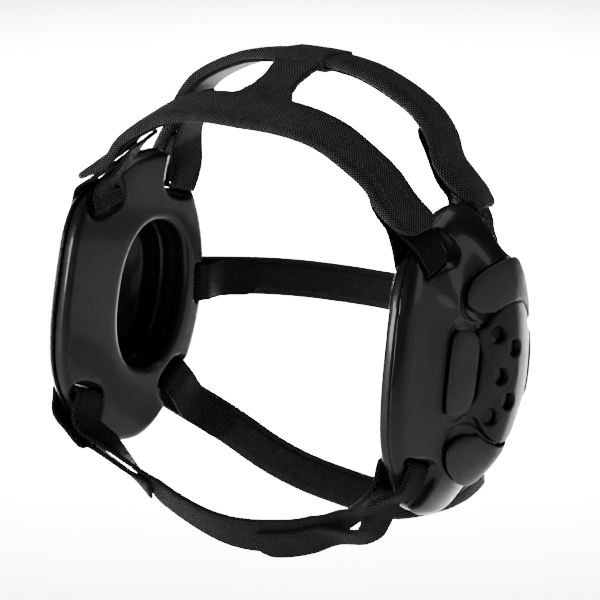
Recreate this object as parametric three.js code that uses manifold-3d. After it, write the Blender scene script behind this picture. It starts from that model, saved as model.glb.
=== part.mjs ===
// Wrestling ear guard: two moulded ear cups held on the head by two crown straps, two nape straps
// and a chin strap. Millimetres, +Z up, the wearer faces -Y and the wearer's left is +X.
// The origin is midway between the ear openings, on the line through the ears.
import * as THREE from "three";
import { mergeVertices } from "three/addons/utils/BufferGeometryUtils.js";
import Module from "manifold-3d";

const wasm = await Module();
wasm.setup();

// Cup sizes
const EAR_SPACING = 156; // between the inner faces of the two cups, at the ears
const CUP_WIDTH = 92; // front to rear
const CUP_HEIGHT = 137;
const CUP_FORWARD = 16; // the middle of the cup lies this far ahead of the ear axis
const CUP_TOE_DEG = 6.5; // the cups open towards the face
const CUP_TILT_DEG = 11.6; // their tops lean rearwards
const FOAM_THICKNESS = 6.4; // the foam ring against the head
const SEAM_GAP = 0.35; // between touching pieces
const WEB_GAP = 0.6; // between a strap and the webbing under it, which twist together
const SHELL_RISE = 30.2; // from the seam to the crown of the dome
const SHELL_WALL = 3.2;
const DOME_BEHIND = 11; // the dome sits this far behind the middle of the cup
const DOME_BELOW = 1;
const EAR_OPENING_WIDTH = 43;
const EAR_OPENING_HEIGHT = 70;
const EAR_OPENING_RAISE = 3; // its middle lies above the middle of the dome
const CAVITY_UNDERCUT = 2.2; // the ear cavity is this much wider than the opening all round, front and ends

// Vent plate and gel pads
const PLATE_WIDTH = 35;
const PLATE_HEIGHT = 62;
const PLATE_THICKNESS = 2.6;
const VENT_DIAMETER = 8.4;
const GEL_THICKNESS = 3.6;
const PAD_LIFT = 1; // the plate and pads stand this far off the dome

// Straps
const CROWN_WIDTH = 23;
const CROWN_THICKNESS = 4.4; // the padded crown straps
const NAPE_WIDTH = 18.5;
const NAPE_THICKNESS = 3;
const TAIL_WIDTH = 17.5; // the webbing tails that pass through the slots
const WEB_THICKNESS = 1.6;
const LINING_MARGIN = 3.2; // a lining leaves this much of its strap's edge bare
const LINING_THICKNESS = 1.2;
const END_RADIUS = 8; // the rounded ends of covers and tails
const OUTER_ARM = 30; // length of the tail's outer arm under the strap
const LINING_START = 34; // the lining begins this far from the end of its strap
const SLEEVE_WIDTH = 27; // the bridge's end, folded round the rear crown strap
const SLEEVE_WALL = 1.5;
const CHIN_WIDTH = 21;
const CHIN_THICKNESS = 2.2;
const SLOT_LENGTH = 20.5;
const SLOT_WIDTH = 3.6;
const RIM_DEPTH = 8.8; // the cup is this thick at the rim, where the straps cross it

const EAR_X = EAR_SPACING / 2;
const HALF_WIDTH = CUP_WIDTH / 2;
const HALF_HEIGHT = CUP_HEIGHT / 2;
const SEAM_DEPTH = FOAM_THICKNESS + SEAM_GAP;
const CENTRE = new THREE.Vector2(-DOME_BEHIND, -DOME_BELOW);

// The cup's outline seen from the side, as shares of its half width and half height.
const OUTLINE = [
  { forward: 0.0, up: 1.0 },
  { forward: 0.2, up: 0.965 },
  { forward: 0.38, up: 0.89 },
  { forward: 0.64, up: 0.775 },
  { forward: 0.87, up: 0.665 },
  { forward: 0.97, up: 0.5 },
  { forward: 1.0, up: 0.2 },
  { forward: 0.98, up: -0.25 },
  { forward: 0.88, up: -0.53 },
  { forward: 0.64, up: -0.76 },
  { forward: 0.34, up: -0.93 },
  { forward: 0.03, up: -0.985 },
  { forward: -0.3, up: -0.97 },
  { forward: -0.52, up: -0.88 },
  { forward: -0.68, up: -0.74 },
  { forward: -0.89, up: -0.47 },
  { forward: -0.98, up: -0.22 },
  { forward: -1.0, up: 0.06 },
  { forward: -0.94, up: 0.34 },
  { forward: -0.83, up: 0.55 },
  { forward: -0.69, up: 0.72 },
  { forward: -0.52, up: 0.88 },
  { forward: -0.34, up: 0.98 },
  { forward: -0.16, up: 1.01 },
];

// How far the dome has risen at a share of the way from its middle to the rim: on the
// steep sides, towards the bottom and on the long front flank, as shares of the rise.
const RISE = [
  { share: 0, side: 1, bottom: 1, front: 1 },
  { share: 0.2, side: 0.98, bottom: 0.98, front: 0.86 },
  { share: 0.35, side: 0.94, bottom: 0.94, front: 0.69 },
  { share: 0.5, side: 0.88, bottom: 0.86, front: 0.53 },
  { share: 0.62, side: 0.82, bottom: 0.7, front: 0.43 },
  { share: 0.74, side: 0.71, bottom: 0.5, front: 0.33 },
  { share: 0.84, side: 0.55, bottom: 0.34, front: 0.25 },
  { share: 0.92, side: 0.33, bottom: 0.21, front: 0.18 },
  { share: 0.97, side: 0.16, bottom: 0.12, front: 0.11 },
  { share: 1, side: 0, bottom: 0, front: 0 },
];

// The slots that the straps pass through: where they lie round the rim and which way the
// strap leaves, in degrees above forward, how far inside the rim the slot is, how far the
// hollow over it reaches in from the rim, and how steeply its floor falls towards the rim.
const SLOTS = {
  crown_front: { bearing: 59, heading: 66, inset: 10, reach: 13.5, slope: 0.55 },
  crown_rear: { bearing: 109, heading: 99, inset: 10.5, reach: 14, slope: 0.6 },
  nape_upper: { bearing: 170, heading: 172, inset: 5.8, reach: 8.4, slope: 0.4 },
  nape_lower: { bearing: 228, heading: 221, inset: 8.5, reach: 12, slope: 0.4 },
  chin: { bearing: 296, heading: 281, inset: 12.5, reach: 16, slope: 0.3 },
};

const vec = (x, y, z) => new THREE.Vector3(x, y, z);
const radians = THREE.MathUtils.degToRad;

// Solids and booleans
function toSolid(geometry) {
  const bare = geometry.clone();
  for (const name of Object.keys(bare.attributes)) if (name !== "position") bare.deleteAttribute(name);
  const merged = mergeVertices(bare, 1e-4);
  const build = (triVerts) =>
    new wasm.Manifold(
      new wasm.Mesh({
        numProp: 3,
        vertProperties: new Float32Array(merged.attributes.position.array),
        triVerts: new Uint32Array(triVerts),
      }),
    );
  const solid = build(merged.index.array);
  return solid.volume() < 0 ? build(Array.from(merged.index.array).reverse()) : solid;
}

function toGeometry(solid) {
  const mesh = solid.getMesh();
  const geometry = new THREE.BufferGeometry();
  const positions = new Float32Array(mesh.numVert * 3);
  for (let i = 0; i < mesh.numVert; i++)
    positions.set(mesh.vertProperties.subarray(i * mesh.numProp, i * mesh.numProp + 3), i * 3);
  geometry.setAttribute("position", new THREE.BufferAttribute(positions, 3));
  geometry.setIndex(new THREE.BufferAttribute(new Uint32Array(mesh.triVerts), 1));
  geometry.computeVertexNormals();
  return geometry;
}

const cut = (geometry, ...tools) =>
  toGeometry(tools.reduce((solid, tool) => solid.subtract(toSolid(tool)), toSolid(geometry)));
const join = (geometry, ...others) =>
  toGeometry(others.reduce((solid, other) => solid.add(toSolid(other)), toSolid(geometry)));

// Rings of equally many points, joined one to the next. Closed joins the last ring to the
// first, and otherwise both ends are capped to their middles.
function loft(rings, closed = false) {
  const count = rings[0].length;
  const points = rings.flat();
  const faces = [];
  const span = (a, b) => points[a].distanceTo(points[b]);
  const quad = (a, b, c, d) =>
    span(a, c) < span(b, d) - 1e-4 ? faces.push(a, b, c, a, c, d) : faces.push(b, c, d, b, d, a);
  const last = closed ? rings.length : rings.length - 1;
  for (let i = 0; i < last; i++) {
    const next = (i + 1) % rings.length;
    for (let j = 0; j < count; j++) {
      const k = (j + 1) % count;
      quad(i * count + j, i * count + k, next * count + k, next * count + j);
    }
  }
  if (!closed)
    for (const [row, turn] of [[0, 1], [rings.length - 1, -1]]) {
      const middle = rings[row].reduce((sum, p) => sum.add(p), vec(0, 0, 0)).divideScalar(count);
      points.push(middle);
      for (let j = 0; j < count; j++) {
        const k = (j + 1) % count;
        const edge = turn > 0 ? [k, j] : [j, k];
        faces.push(row * count + edge[0], row * count + edge[1], points.length - 1);
      }
    }
  const geometry = new THREE.BufferGeometry().setFromPoints(points);
  geometry.setIndex(faces);
  return toGeometry(toSolid(geometry));
}

// Smooth reading of one column of a table between its rows.
function read(table, key, column, value) {
  let i = 0;
  while (i < table.length - 2 && value > table[i + 1][key]) i++;
  const [a, b] = [table[i], table[i + 1]];
  const before = table[Math.max(0, i - 1)];
  const after = table[Math.min(table.length - 1, i + 2)];
  const slope = (p, q) => (q[column] - p[column]) / (q[key] - p[key] || 1);
  const span = b[key] - a[key];
  const t = THREE.MathUtils.clamp((value - a[key]) / span, 0, 1);
  const start = slope(before, b) * span;
  const end = slope(a, after) * span;
  const t2 = t * t;
  const t3 = t2 * t;
  return (
    (2 * t3 - 3 * t2 + 1) * a[column] +
    (t3 - 2 * t2 + t) * start +
    (3 * t2 - 2 * t3) * b[column] +
    (t3 - t2) * end
  );
}

// The cup's own frame: X out from the head, Y rearwards, Z up, from the middle of its inner
// face. Places on the cup are given as forward, up and depth.
const cupFrame = new THREE.Matrix4()
  .makeTranslation(EAR_X, 0, 0)
  .multiply(new THREE.Matrix4().makeRotationZ(radians(CUP_TOE_DEG)))
  .multiply(new THREE.Matrix4().makeRotationX(-radians(CUP_TILT_DEG)))
  .multiply(new THREE.Matrix4().makeTranslation(0, -CUP_FORWARD, 0));
const onCup = (forward, up, depth) => vec(depth, -forward, up);
const inWorld = (forward, up, depth) => onCup(forward, up, depth).applyMatrix4(cupFrame);
const turnedInWorld = (forward, up) => onCup(forward, up, 0).transformDirection(cupFrame);

const RIM_POINTS = 23;
const rimCurve = new THREE.CatmullRomCurve3(
  OUTLINE.map((row) => vec(row.forward * HALF_WIDTH, row.up * HALF_HEIGHT, 0)),
  true,
  "centripetal",
);
const rimFine = rimCurve.getSpacedPoints(160).slice(0, -1);

// Distance to the rim from a middle, along a bearing in radians.
function rimReach(middle, bearing) {
  const way = new THREE.Vector2(Math.cos(bearing), Math.sin(bearing));
  let reach = 0;
  rimFine.forEach((p, i) => {
    const q = rimFine[(i + 1) % rimFine.length];
    const edge = new THREE.Vector2(q.x - p.x, q.y - p.y);
    const start = new THREE.Vector2(p.x - middle.x, p.y - middle.y);
    const across = way.x * edge.y - way.y * edge.x;
    if (Math.abs(across) < 1e-9) return;
    const along = (start.x * edge.y - start.y * edge.x) / across;
    const share = (start.x * way.y - start.y * way.x) / across;
    if (along > 0 && share >= 0 && share <= 1) reach = Math.max(reach, along);
  });
  return reach;
}

// Depth of the cup's outer surface over a place on it.
function surfaceDepth(forward, up) {
  const away = new THREE.Vector2(forward - CENTRE.x, up - CENTRE.y);
  const distance = away.length();
  if (distance < 1e-6) return SEAM_DEPTH + SHELL_RISE;
  const share = Math.min(1, distance / rimReach(CENTRE, away.angle()));
  const frontness = THREE.MathUtils.smoothstep(away.x / distance, 0.05, 0.85);
  const lowness = THREE.MathUtils.smoothstep(-away.y / distance, 0.35, 0.85);
  const [side, bottom, front] = ["side", "bottom", "front"].map((name) => read(RISE, "share", name, share));
  const rear = THREE.MathUtils.lerp(side, bottom, lowness);
  return SEAM_DEPTH + SHELL_RISE * THREE.MathUtils.lerp(rear, front, frontness);
}

// A point at a height above the outer surface, square to it.
function aboveShell(forward, up, height) {
  const step = 1;
  const slopeForward =
    (surfaceDepth(forward + step, up) - surfaceDepth(forward - step, up)) / (2 * step);
  const slopeUp = (surfaceDepth(forward, up + step) - surfaceDepth(forward, up - step)) / (2 * step);
  const normal = vec(-slopeForward, -slopeUp, 1).normalize().multiplyScalar(height);
  return onCup(forward + normal.x, up + normal.y, surfaceDepth(forward, up) + normal.z);
}

// Points of an oval about a middle, at the same bearings as the rim's points.
const rimPoints = rimCurve.getSpacedPoints(RIM_POINTS).slice(0, -1);
const bearings = rimPoints.map((p) => Math.atan2(p.y - CENTRE.y, p.x - CENTRE.x));
function oval(width, height, raise = 0, squareness = 2.3) {
  return bearings.map((bearing) => {
    const [c, s] = [Math.cos(bearing), Math.sin(bearing)];
    const reach =
      (Math.abs(c / (width / 2)) ** squareness + Math.abs(s / (height / 2)) ** squareness) **
      (-1 / squareness);
    return new THREE.Vector2(CENTRE.x + c * reach, CENTRE.y + raise + s * reach);
  });
}
const rimAt = (share) =>
  rimPoints.map(
    (p) =>
      new THREE.Vector2(CENTRE.x + (p.x - CENTRE.x) * share, CENTRE.y + (p.y - CENTRE.y) * share),
  );
const inset = (amount) =>
  rimPoints.map((p) => {
    const length = Math.hypot(p.x, p.y);
    return new THREE.Vector2(p.x * (1 - amount / length), p.y * (1 - amount / length));
  });
const between = (a, b, share) => a.map((p, i) => p.clone().lerp(b[i], share));
const atDepth = (outline, depth) => outline.map((p) => onCup(p.x, p.y, depth));
const onSurface = (outline, below = 0) =>
  outline.map((p) => onCup(p.x, p.y, surfaceDepth(p.x, p.y) - below));

// The slots, cut straight through the cup, and the hollows that lead into them
function slotPlace(name) {
  const { bearing, heading, inset, reach, slope } = SLOTS[name];
  const along = new THREE.Vector2(Math.cos(radians(heading)), Math.sin(radians(heading)));
  const toRim = new THREE.Vector2(Math.cos(radians(bearing)), Math.sin(radians(bearing)));
  const rim = toRim.multiplyScalar(rimReach(new THREE.Vector2(0, 0), radians(bearing)));
  const middle = rim.clone().addScaledVector(along, -inset);
  const floor = (out) => RIM_DEPTH + slope * (inset - out);
  const above = (out, height) => floor(out) + height * Math.hypot(1, slope);
  const across = new THREE.Vector2(-along.y, along.x);
  const edges = [-TAIL_WIDTH / 2, TAIL_WIDTH / 2].map((w) => middle.clone().addScaledVector(across, w));
  const past = Math.max(inset, ...edges.map((edge) => rimReach(edge, radians(heading))));
  return { middle, rim, along, across, inset, past, reach, floor, above, heading: radians(heading) };
}

function slotCutter(name) {
  const { middle, heading } = slotPlace(name);
  const half = SLOT_LENGTH / 2 - SLOT_WIDTH / 2;
  const shape = new THREE.Shape();
  shape.absarc(half, 0, SLOT_WIDTH / 2, -Math.PI / 2, Math.PI / 2, false);
  shape.absarc(-half, 0, SLOT_WIDTH / 2, Math.PI / 2, (3 * Math.PI) / 2, false);
  const through = SHELL_RISE + SEAM_DEPTH;
  const geometry = new THREE.ExtrudeGeometry(shape, {
    depth: 2 * through,
    bevelEnabled: false,
    curveSegments: 2,
  });
  geometry.translate(0, 0, -through);
  geometry.rotateZ(heading - Math.PI / 2); // the slot runs across the way that its strap leaves
  geometry.translate(middle.x, middle.y, 0);
  return swapToCup(geometry);
}

// Turns a shape drawn as forward, up, depth into the cup's frame.
function swapToCup(geometry) {
  const swap = new THREE.Matrix4().set(0, 0, 1, 0, -1, 0, 0, 0, 0, 1, 0, 0, 0, 0, 0, 1);
  return geometry.applyMatrix4(swap);
}

// The hollow over a slot, level by level from its floor: how much smaller it is than its mouth.
const HOLLOW_LEVELS = [
  { height: 0, smaller: 2.6 },
  { height: 0.8, smaller: 1.2 },
  { height: 2.6, smaller: 0.3 },
  { height: 6, smaller: 0 },
  { height: 30, smaller: -1 },
];
const HOLLOW_POINTS = 14;
const HOLLOW_HALF_LENGTH = 14.5;
const HOLLOW_BEYOND = 12; // it runs out this far past the rim
function hollowCutter(name) {
  const { middle, rim, along, across, reach, floor } = slotPlace(name);
  const rings = HOLLOW_LEVELS.map(({ height, smaller }) =>
    Array.from({ length: HOLLOW_POINTS }, (_, i) => {
      const angle = ((i + 0.5) / HOLLOW_POINTS) * 2 * Math.PI;
      const [c, s] = [Math.cos(angle), Math.sin(angle)];
      const round = (value) => Math.sign(value) * Math.abs(value) ** 0.72;
      const inward = (reach + HOLLOW_BEYOND) / 2 - smaller;
      const p = rim
        .clone()
        .addScaledVector(along, (HOLLOW_BEYOND - reach) / 2 + inward * round(c))
        .addScaledVector(across, (HOLLOW_HALF_LENGTH - smaller) * round(s));
      const out = p.clone().sub(middle).dot(along);
      return onCup(p.x, p.y, floor(out) + height);
    }),
  );
  return loft(rings);
}

// Cup pieces
function cupShell() {
  const tip = oval(3, 5);
  const mouth = oval(
    EAR_OPENING_WIDTH + 2 * CAVITY_UNDERCUT,
    EAR_OPENING_HEIGHT + 2 * CAVITY_UNDERCUT,
    EAR_OPENING_RAISE,
  );
  const half = rimAt(0.45);
  const outer = [0.62, 0.76, 0.86, 0.93, 0.975, 1].map((share) => onSurface(rimAt(share)));
  const rings = [
    onSurface(tip),
    onSurface(between(tip, half, 0.5)),
    onSurface(half),
    ...outer,
    atDepth(inset(0.4), SEAM_DEPTH),
    atDepth(mouth, SEAM_DEPTH),
    onSurface(between(tip, mouth, 0.88), SHELL_WALL + 5),
    onSurface(between(tip, mouth, 0.6), SHELL_WALL + 1),
    onSurface(tip, SHELL_WALL + 1),
  ];
  const names = Object.keys(SLOTS);
  return cut(loft(rings), ...names.map(slotCutter), ...names.map(hollowCutter));
}

function earPad() {
  const opening = oval(EAR_OPENING_WIDTH, EAR_OPENING_HEIGHT, EAR_OPENING_RAISE);
  const lip = oval(EAR_OPENING_WIDTH + 5, EAR_OPENING_HEIGHT + 5, EAR_OPENING_RAISE);
  const rings = [
    atDepth(inset(0.4), FOAM_THICKNESS),
    atDepth(inset(0.3), 4.2),
    atDepth(inset(1.2), 1.9),
    atDepth(inset(2.8), 0.6),
    atDepth(inset(5), 0),
    atDepth(lip, 0),
    atDepth(between(lip, opening, 0.75), 0.8),
    atDepth(opening, 2.4),
    atDepth(opening, FOAM_THICKNESS - 0.8),
    atDepth(lip, FOAM_THICKNESS),
  ];
  const names = Object.keys(SLOTS);
  return cut(loft(rings, true), ...names.map(slotCutter), ...names.map(hollowCutter));
}

// The vent plate lies over the crown of the dome. Its vents are blind, each placed from the
// middle of the dome.
const VENTS = [
  { forward: 10.5, up: 16.5 },
  { forward: 2.3, up: 11 },
  { forward: 8.5, up: -1.5 },
  { forward: 2.9, up: -12.6 },
  { forward: 10, up: -19.5 },
];
function ventPlate() {
  const edge = oval(PLATE_WIDTH, PLATE_HEIGHT, 0, 2.4);
  const middle = edge.map(() => CENTRE.clone());
  const level = (share, height) =>
    between(middle, edge, share).map((p) => aboveShell(p.x, p.y, height));
  const rings = [
    level(0.04, PAD_LIFT),
    level(0.55, PAD_LIFT),
    level(0.97, PAD_LIFT),
    level(1, PLATE_THICKNESS * 0.5),
    level(0.94, PLATE_THICKNESS),
    level(0.5, PLATE_THICKNESS + 0.5),
    level(0.04, PLATE_THICKNESS + 0.6),
  ];
  const holes = VENTS.map(({ forward, up }) => {
    const hole = new THREE.CylinderGeometry(VENT_DIAMETER / 2, VENT_DIAMETER / 2, 30, 8);
    hole.rotateX(Math.PI / 2);
    hole.translate(CENTRE.x + forward, CENTRE.y + up, SEAM_DEPTH + SHELL_RISE);
    return swapToCup(hole);
  });
  return cut(loft(rings), ...holes);
}

// Gel pads: a bar bent along a line of stations, each with its half width. Places are shares
// of the plate's half width and half height, from the middle of the dome.
const PADS = {
  gel_upper: [
    { forward: 1.14, up: 0.84, half: 0.5 },
    { forward: 1.08, up: 0.94, half: 6.3 },
    { forward: 0.9, up: 1.1, half: 8 },
    { forward: 0.5, up: 1.24, half: 8.2 },
    { forward: 0, up: 1.29, half: 8.4 },
    { forward: -0.5, up: 1.22, half: 8 },
    { forward: -0.95, up: 1.06, half: 7 },
    { forward: -1.24, up: 0.84, half: 5 },
    { forward: -1.34, up: 0.7, half: 0.5 },
  ],
  gel_front: [
    { forward: 1.48, up: 0.58, half: 0.5 },
    { forward: 1.49, up: 0.48, half: 4.8 },
    { forward: 1.5, up: 0.3, half: 5.9 },
    { forward: 1.51, up: 0, half: 5.9 },
    { forward: 1.5, up: -0.3, half: 5.9 },
    { forward: 1.48, up: -0.52, half: 4.9 },
    { forward: 1.46, up: -0.62, half: 0.5 },
  ],
  gel_lower: [
    { forward: 1.2, up: -0.94, half: 0.5 },
    { forward: 1.1, up: -1.05, half: 6.5 },
    { forward: 0.9, up: -1.2, half: 8.4 },
    { forward: 0.5, up: -1.32, half: 8.8 },
    { forward: 0, up: -1.35, half: 8.4 },
    { forward: -0.5, up: -1.28, half: 7.6 },
    { forward: -0.95, up: -1.1, half: 6.4 },
    { forward: -1.22, up: -0.88, half: 4.6 },
    { forward: -1.3, up: -0.76, half: 0.5 },
  ],
  gel_rear: [
    { forward: -1.36, up: 0.55, half: 0.5 },
    { forward: -1.38, up: 0.46, half: 3.4 },
    { forward: -1.4, up: 0.2, half: 4.4 },
    { forward: -1.4, up: -0.25, half: 4.4 },
    { forward: -1.37, up: -0.52, half: 3.4 },
    { forward: -1.35, up: -0.62, half: 0.5 },
  ],
};
const PAD_SECTION = [
  { across: -1, height: 0.3 },
  { across: -0.93, height: 0.78 },
  { across: -0.62, height: 1 },
  { across: 0, height: 1.06 },
  { across: 0.62, height: 1 },
  { across: 0.93, height: 0.78 },
  { across: 1, height: 0.3 },
  { across: 0.9, height: 0 },
  { across: 0, height: 0 },
  { across: -0.9, height: 0 },
];
function gelPad(name) {
  const rows = PADS[name];
  const line = rows.map(
    ({ forward, up }) =>
      new THREE.Vector2(
        CENTRE.x + (forward * PLATE_WIDTH) / 2,
        CENTRE.y + (up * PLATE_HEIGHT) / 2,
      ),
  );
  const rings = rows.map(({ half }, i) => {
    const ahead = line[Math.min(i + 1, line.length - 1)];
    const way = ahead.clone().sub(line[Math.max(i - 1, 0)]).normalize();
    const side = new THREE.Vector2(way.y, -way.x);
    const isEnd = i === 0 || i === rows.length - 1;
    const tallness = isEnd ? 0.45 : 1;
    return PAD_SECTION.map(({ across, height }) => {
      const p = line[i].clone().addScaledVector(side, across * half);
      return aboveShell(p.x, p.y, PAD_LIFT + height * tallness * (GEL_THICKNESS - PAD_LIFT));
    });
  });
  return loft(rings);
}

const CURVE_SAMPLES = 400; // along a route, to measure its length

// Straps. A route is a smooth line with, all along it, the way that the strap is wide and, where
// its stations say so, its half width.
class Route {
  constructor(stations) {
    this.line = new THREE.CatmullRomCurve3(stations.map((s) => s.at), false, "centripetal");
    this.line.arcLengthDivisions = CURVE_SAMPLES;
    this.length = this.line.getLength();
    this.stations = stations;
    const lengths = this.line.getLengths(CURVE_SAMPLES);
    this.marks = stations.map((_, i) => {
      const place = (i / (stations.length - 1)) * CURVE_SAMPLES;
      const low = Math.min(Math.floor(place), CURVE_SAMPLES - 1);
      return lengths[low] + (lengths[low + 1] - lengths[low]) * (place - low);
    });
  }
  // Distances at the stations and, between them, no further apart than the step.
  grid(step) {
    return this.marks.flatMap((mark, i) => {
      const span = (this.marks[i + 1] ?? mark) - mark;
      const parts = Math.max(1, Math.round(span / step));
      return Array.from({ length: span ? parts : 1 }, (_, k) => mark + (span * k) / parts);
    });
  }
  // Position, direction, width direction, outward normal and half width at a distance along it.
  frame(distance) {
    const share = THREE.MathUtils.clamp(distance / this.length, 0, 1);
    const t = this.line.getUtoTmapping(share);
    const at = this.line.getPoint(t);
    const along = this.line.getTangent(t);
    const spans = this.stations.length - 1;
    const place = t * spans;
    const i = Math.min(Math.floor(place), spans - 1);
    const [a, b] = [this.stations[i], this.stations[i + 1]];
    const blend = place - i;
    const side = a.side.clone().normalize().lerp(b.side.clone().normalize(), blend);
    side.addScaledVector(along, -side.dot(along)).normalize();
    const normal = vec(0, 0, 0).crossVectors(along, side).normalize();
    const half = THREE.MathUtils.lerp(a.half, b.half, THREE.MathUtils.smoothstep(blend, 0, 1));
    return { at, along, side, normal, half };
  }
  offset(distance, height) {
    const { at, normal } = this.frame(distance);
    return at.clone().addScaledVector(normal, height);
  }
}

const STRAP_STEP = 11; // between the sections of a strap

// Sections of webbing and of padded straps, as shares of half width and half thickness.
const WEB_SECTION = [
  { across: -1, height: 1 },
  { across: 1, height: 1 },
  { across: 1, height: -1 },
  { across: -1, height: -1 },
];
const PADDED_SECTION = [
  { across: -1, height: 0 },
  { across: -0.84, height: 1 },
  { across: 0.84, height: 1 },
  { across: 1, height: 0 },
  { across: 0.9, height: -1 },
  { across: -0.9, height: -1 },
];

// Half width near a rounded end of a strap.
function roundedHalf(half, fromEnd) {
  if (fromEnd >= END_RADIUS) return half;
  const short = END_RADIUS - Math.max(fromEnd, 0.06 * END_RADIUS);
  return half - END_RADIUS + Math.sqrt(END_RADIUS * END_RADIUS - short * short);
}

// A strap of even thickness along a route, with its ends rounded or square. Its sections lie at
// the route's stations and, between them, no further apart than the step.
function strap(route, size) {
  const { half, thickness, section = WEB_SECTION, step = STRAP_STEP, height = 0 } = size;
  const { from = 0, to = route.length, rounded = [true, true], margin = 0 } = size;
  const end = [0, 0.12, 0.4, 1].map((share) => share * END_RADIUS);
  const first = (rounded[0] ? end : [0]).map((e) => from + e);
  const last = (rounded[1] ? end : [0]).map((e) => to - e).reverse();
  const [start, stop] = [first[first.length - 1], last[0]];
  const middle = route.grid(step).filter((d) => d > start + 1.5 && d < stop - 1.5);
  const distances = [...first, ...middle, ...last];
  const rings = distances.map((distance) => {
    const { at, side, normal, half: own } = route.frame(distance);
    const full = (half ?? own) + margin;
    const reach = Math.min(
      rounded[0] ? roundedHalf(full, distance - from) : full,
      rounded[1] ? roundedHalf(full, to - distance) : full,
    );
    return section.map(({ across, height: share }) =>
      at
        .clone()
        .addScaledVector(side, across * reach)
        .addScaledVector(normal, height + (share * thickness) / 2),
    );
  });
  return loft(rings);
}

// A slot's place in the wearer's-left cup, or its mirror image in the other one.
function slotInWorld(name, side) {
  const { middle, along, across, inset, past, floor, above } = slotPlace(name);
  const mirror = vec(side, 1, 1);
  return {
    inset,
    past,
    floor,
    above,
    at: (out, depth) =>
      inWorld(middle.x + along.x * out, middle.y + along.y * out, depth).multiply(mirror),
    across: turnedInWorld(across.x, across.y).multiply(mirror),
  };
}

// The stations over one half of each main strap, from the middle to the rim, and the way that
// the strap is wide there. On the wearer's left a strap lies higher by its lift.
const HALF_ROUTES = {
  crown_front: [
    { at: vec(0, -36.6, 107.8), side: vec(0, 0.92, 0.39) },
    { at: vec(24, -36, 106.8), side: vec(0.04, 0.93, 0.34) },
    { at: vec(42.4, -35.5, 102.6), side: vec(0.08, 0.95, 0.26) },
    { at: vec(56.3, -35, 95.2), side: vec(0.12, 0.97, 0.18) },
    { at: vec(68.4, -34.5, 86.8), side: vec(0.15, 0.98, 0.12) },
    { at: vec(76.6, -34, 77), side: vec(0.2, 0.95, 0.15) },
  ],
  crown_rear: [
    { at: vec(0, 12.5, 123.8), side: vec(0, 0.99, -0.1) },
    { at: vec(18, 12.7, 123), side: vec(0, 0.99, -0.1) },
    { at: vec(34.7, 13, 119.6), side: vec(0.0, 0.99, -0.12) },
    { at: vec(59, 14, 107.2), side: vec(-0.03, 1, -0.1) },
    { at: vec(69.8, 15, 97), side: vec(-0.03, 1, -0.05) },
    { at: vec(76.3, 15.4, 85), side: vec(-0.02, 1, 0) },
  ],
  nape_upper: [
    { at: vec(0, 95, -8), side: vec(0, 0.1, 1) },
    { at: vec(33, 90.5, -7), side: vec(0, 0.1, 1) },
    { at: vec(62, 74, -4), side: vec(0, 0.1, 1) },
  ],
  nape_lower: [
    { at: vec(0, 81, -107.5), side: vec(0, 0.5, 0.86) },
    { at: vec(30, 77.5, -104.5), side: vec(-0.15, 0.5, 0.85), lift: 8 },
    { at: vec(47, 69, -97.5), side: vec(-0.3, 0.48, 0.82), lift: 11 },
    { at: vec(58, 59.5, -88.5), side: vec(-0.38, 0.45, 0.8), lift: 9 },
    { at: vec(71, 45, -73), side: vec(-0.45, 0.45, 0.77), lift: 4 },
  ],
};

const matchTo = (side, other) => (side.dot(other) < 0 ? side.clone().negate() : side.clone());

function mainRoute(name, thickness) {
  const half = HALF_ROUTES[name];
  const slot = slotInWorld(name, 1);
  const lastSide = half[half.length - 1].side;
  const flat = matchTo(slot.across, lastSide);
  const turning = flat.clone().multiplyScalar(2).add(lastSide);
  const over = (out) => slot.above(out, WEB_GAP + SEAM_GAP + 0.55 + WEB_THICKNESS + thickness / 2);
  const right = [
    ...half,
    { at: slot.at(slot.past + 2, over(slot.past + 2) + 0.6), side: turning },
    { at: slot.at(slot.inset - 1, over(slot.inset - 1)), side: flat },
  ];
  const mirror = vec(-1, 1, 1);
  const mirrored = right
    .slice(1)
    .reverse()
    .map((s) => ({ at: s.at.clone().multiply(mirror), side: s.side.clone().multiply(mirror) }));
  const lifted = right.map((s) => ({ at: s.at.clone().add(vec(0, 0, s.lift ?? 0)), side: s.side }));
  return new Route([...mirrored, ...lifted]);
}

// The stations of webbing that goes round a bar: over its outer face, through the slot and
// back under its inner face.
function roundBar(slot, side, thickness) {
  const clear = SEAM_GAP + thickness / 2;
  const edge = SLOT_WIDTH / 2;
  const corner = 0.8 * (clear + 0.1);
  return [
    [edge + 2.4, slot.above(edge + 2.4, clear + 0.25)],
    [edge + 0.2, slot.above(edge, clear + 0.2)],
    [edge - corner, slot.floor(edge) + corner],
    [edge - clear - 0.25, slot.floor(edge) - 1.6],
    [0, slot.floor(0) / 2],
    [edge - clear - 0.25, 1.6],
    [edge - corner, -corner],
    [edge + 0.2, -clear - 0.05],
    [edge + 2.4, -clear - 0.25],
    [slot.inset, -clear - 0.7],
  ].map(([out, depth]) => ({ at: slot.at(out, depth), side }));
}

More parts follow.
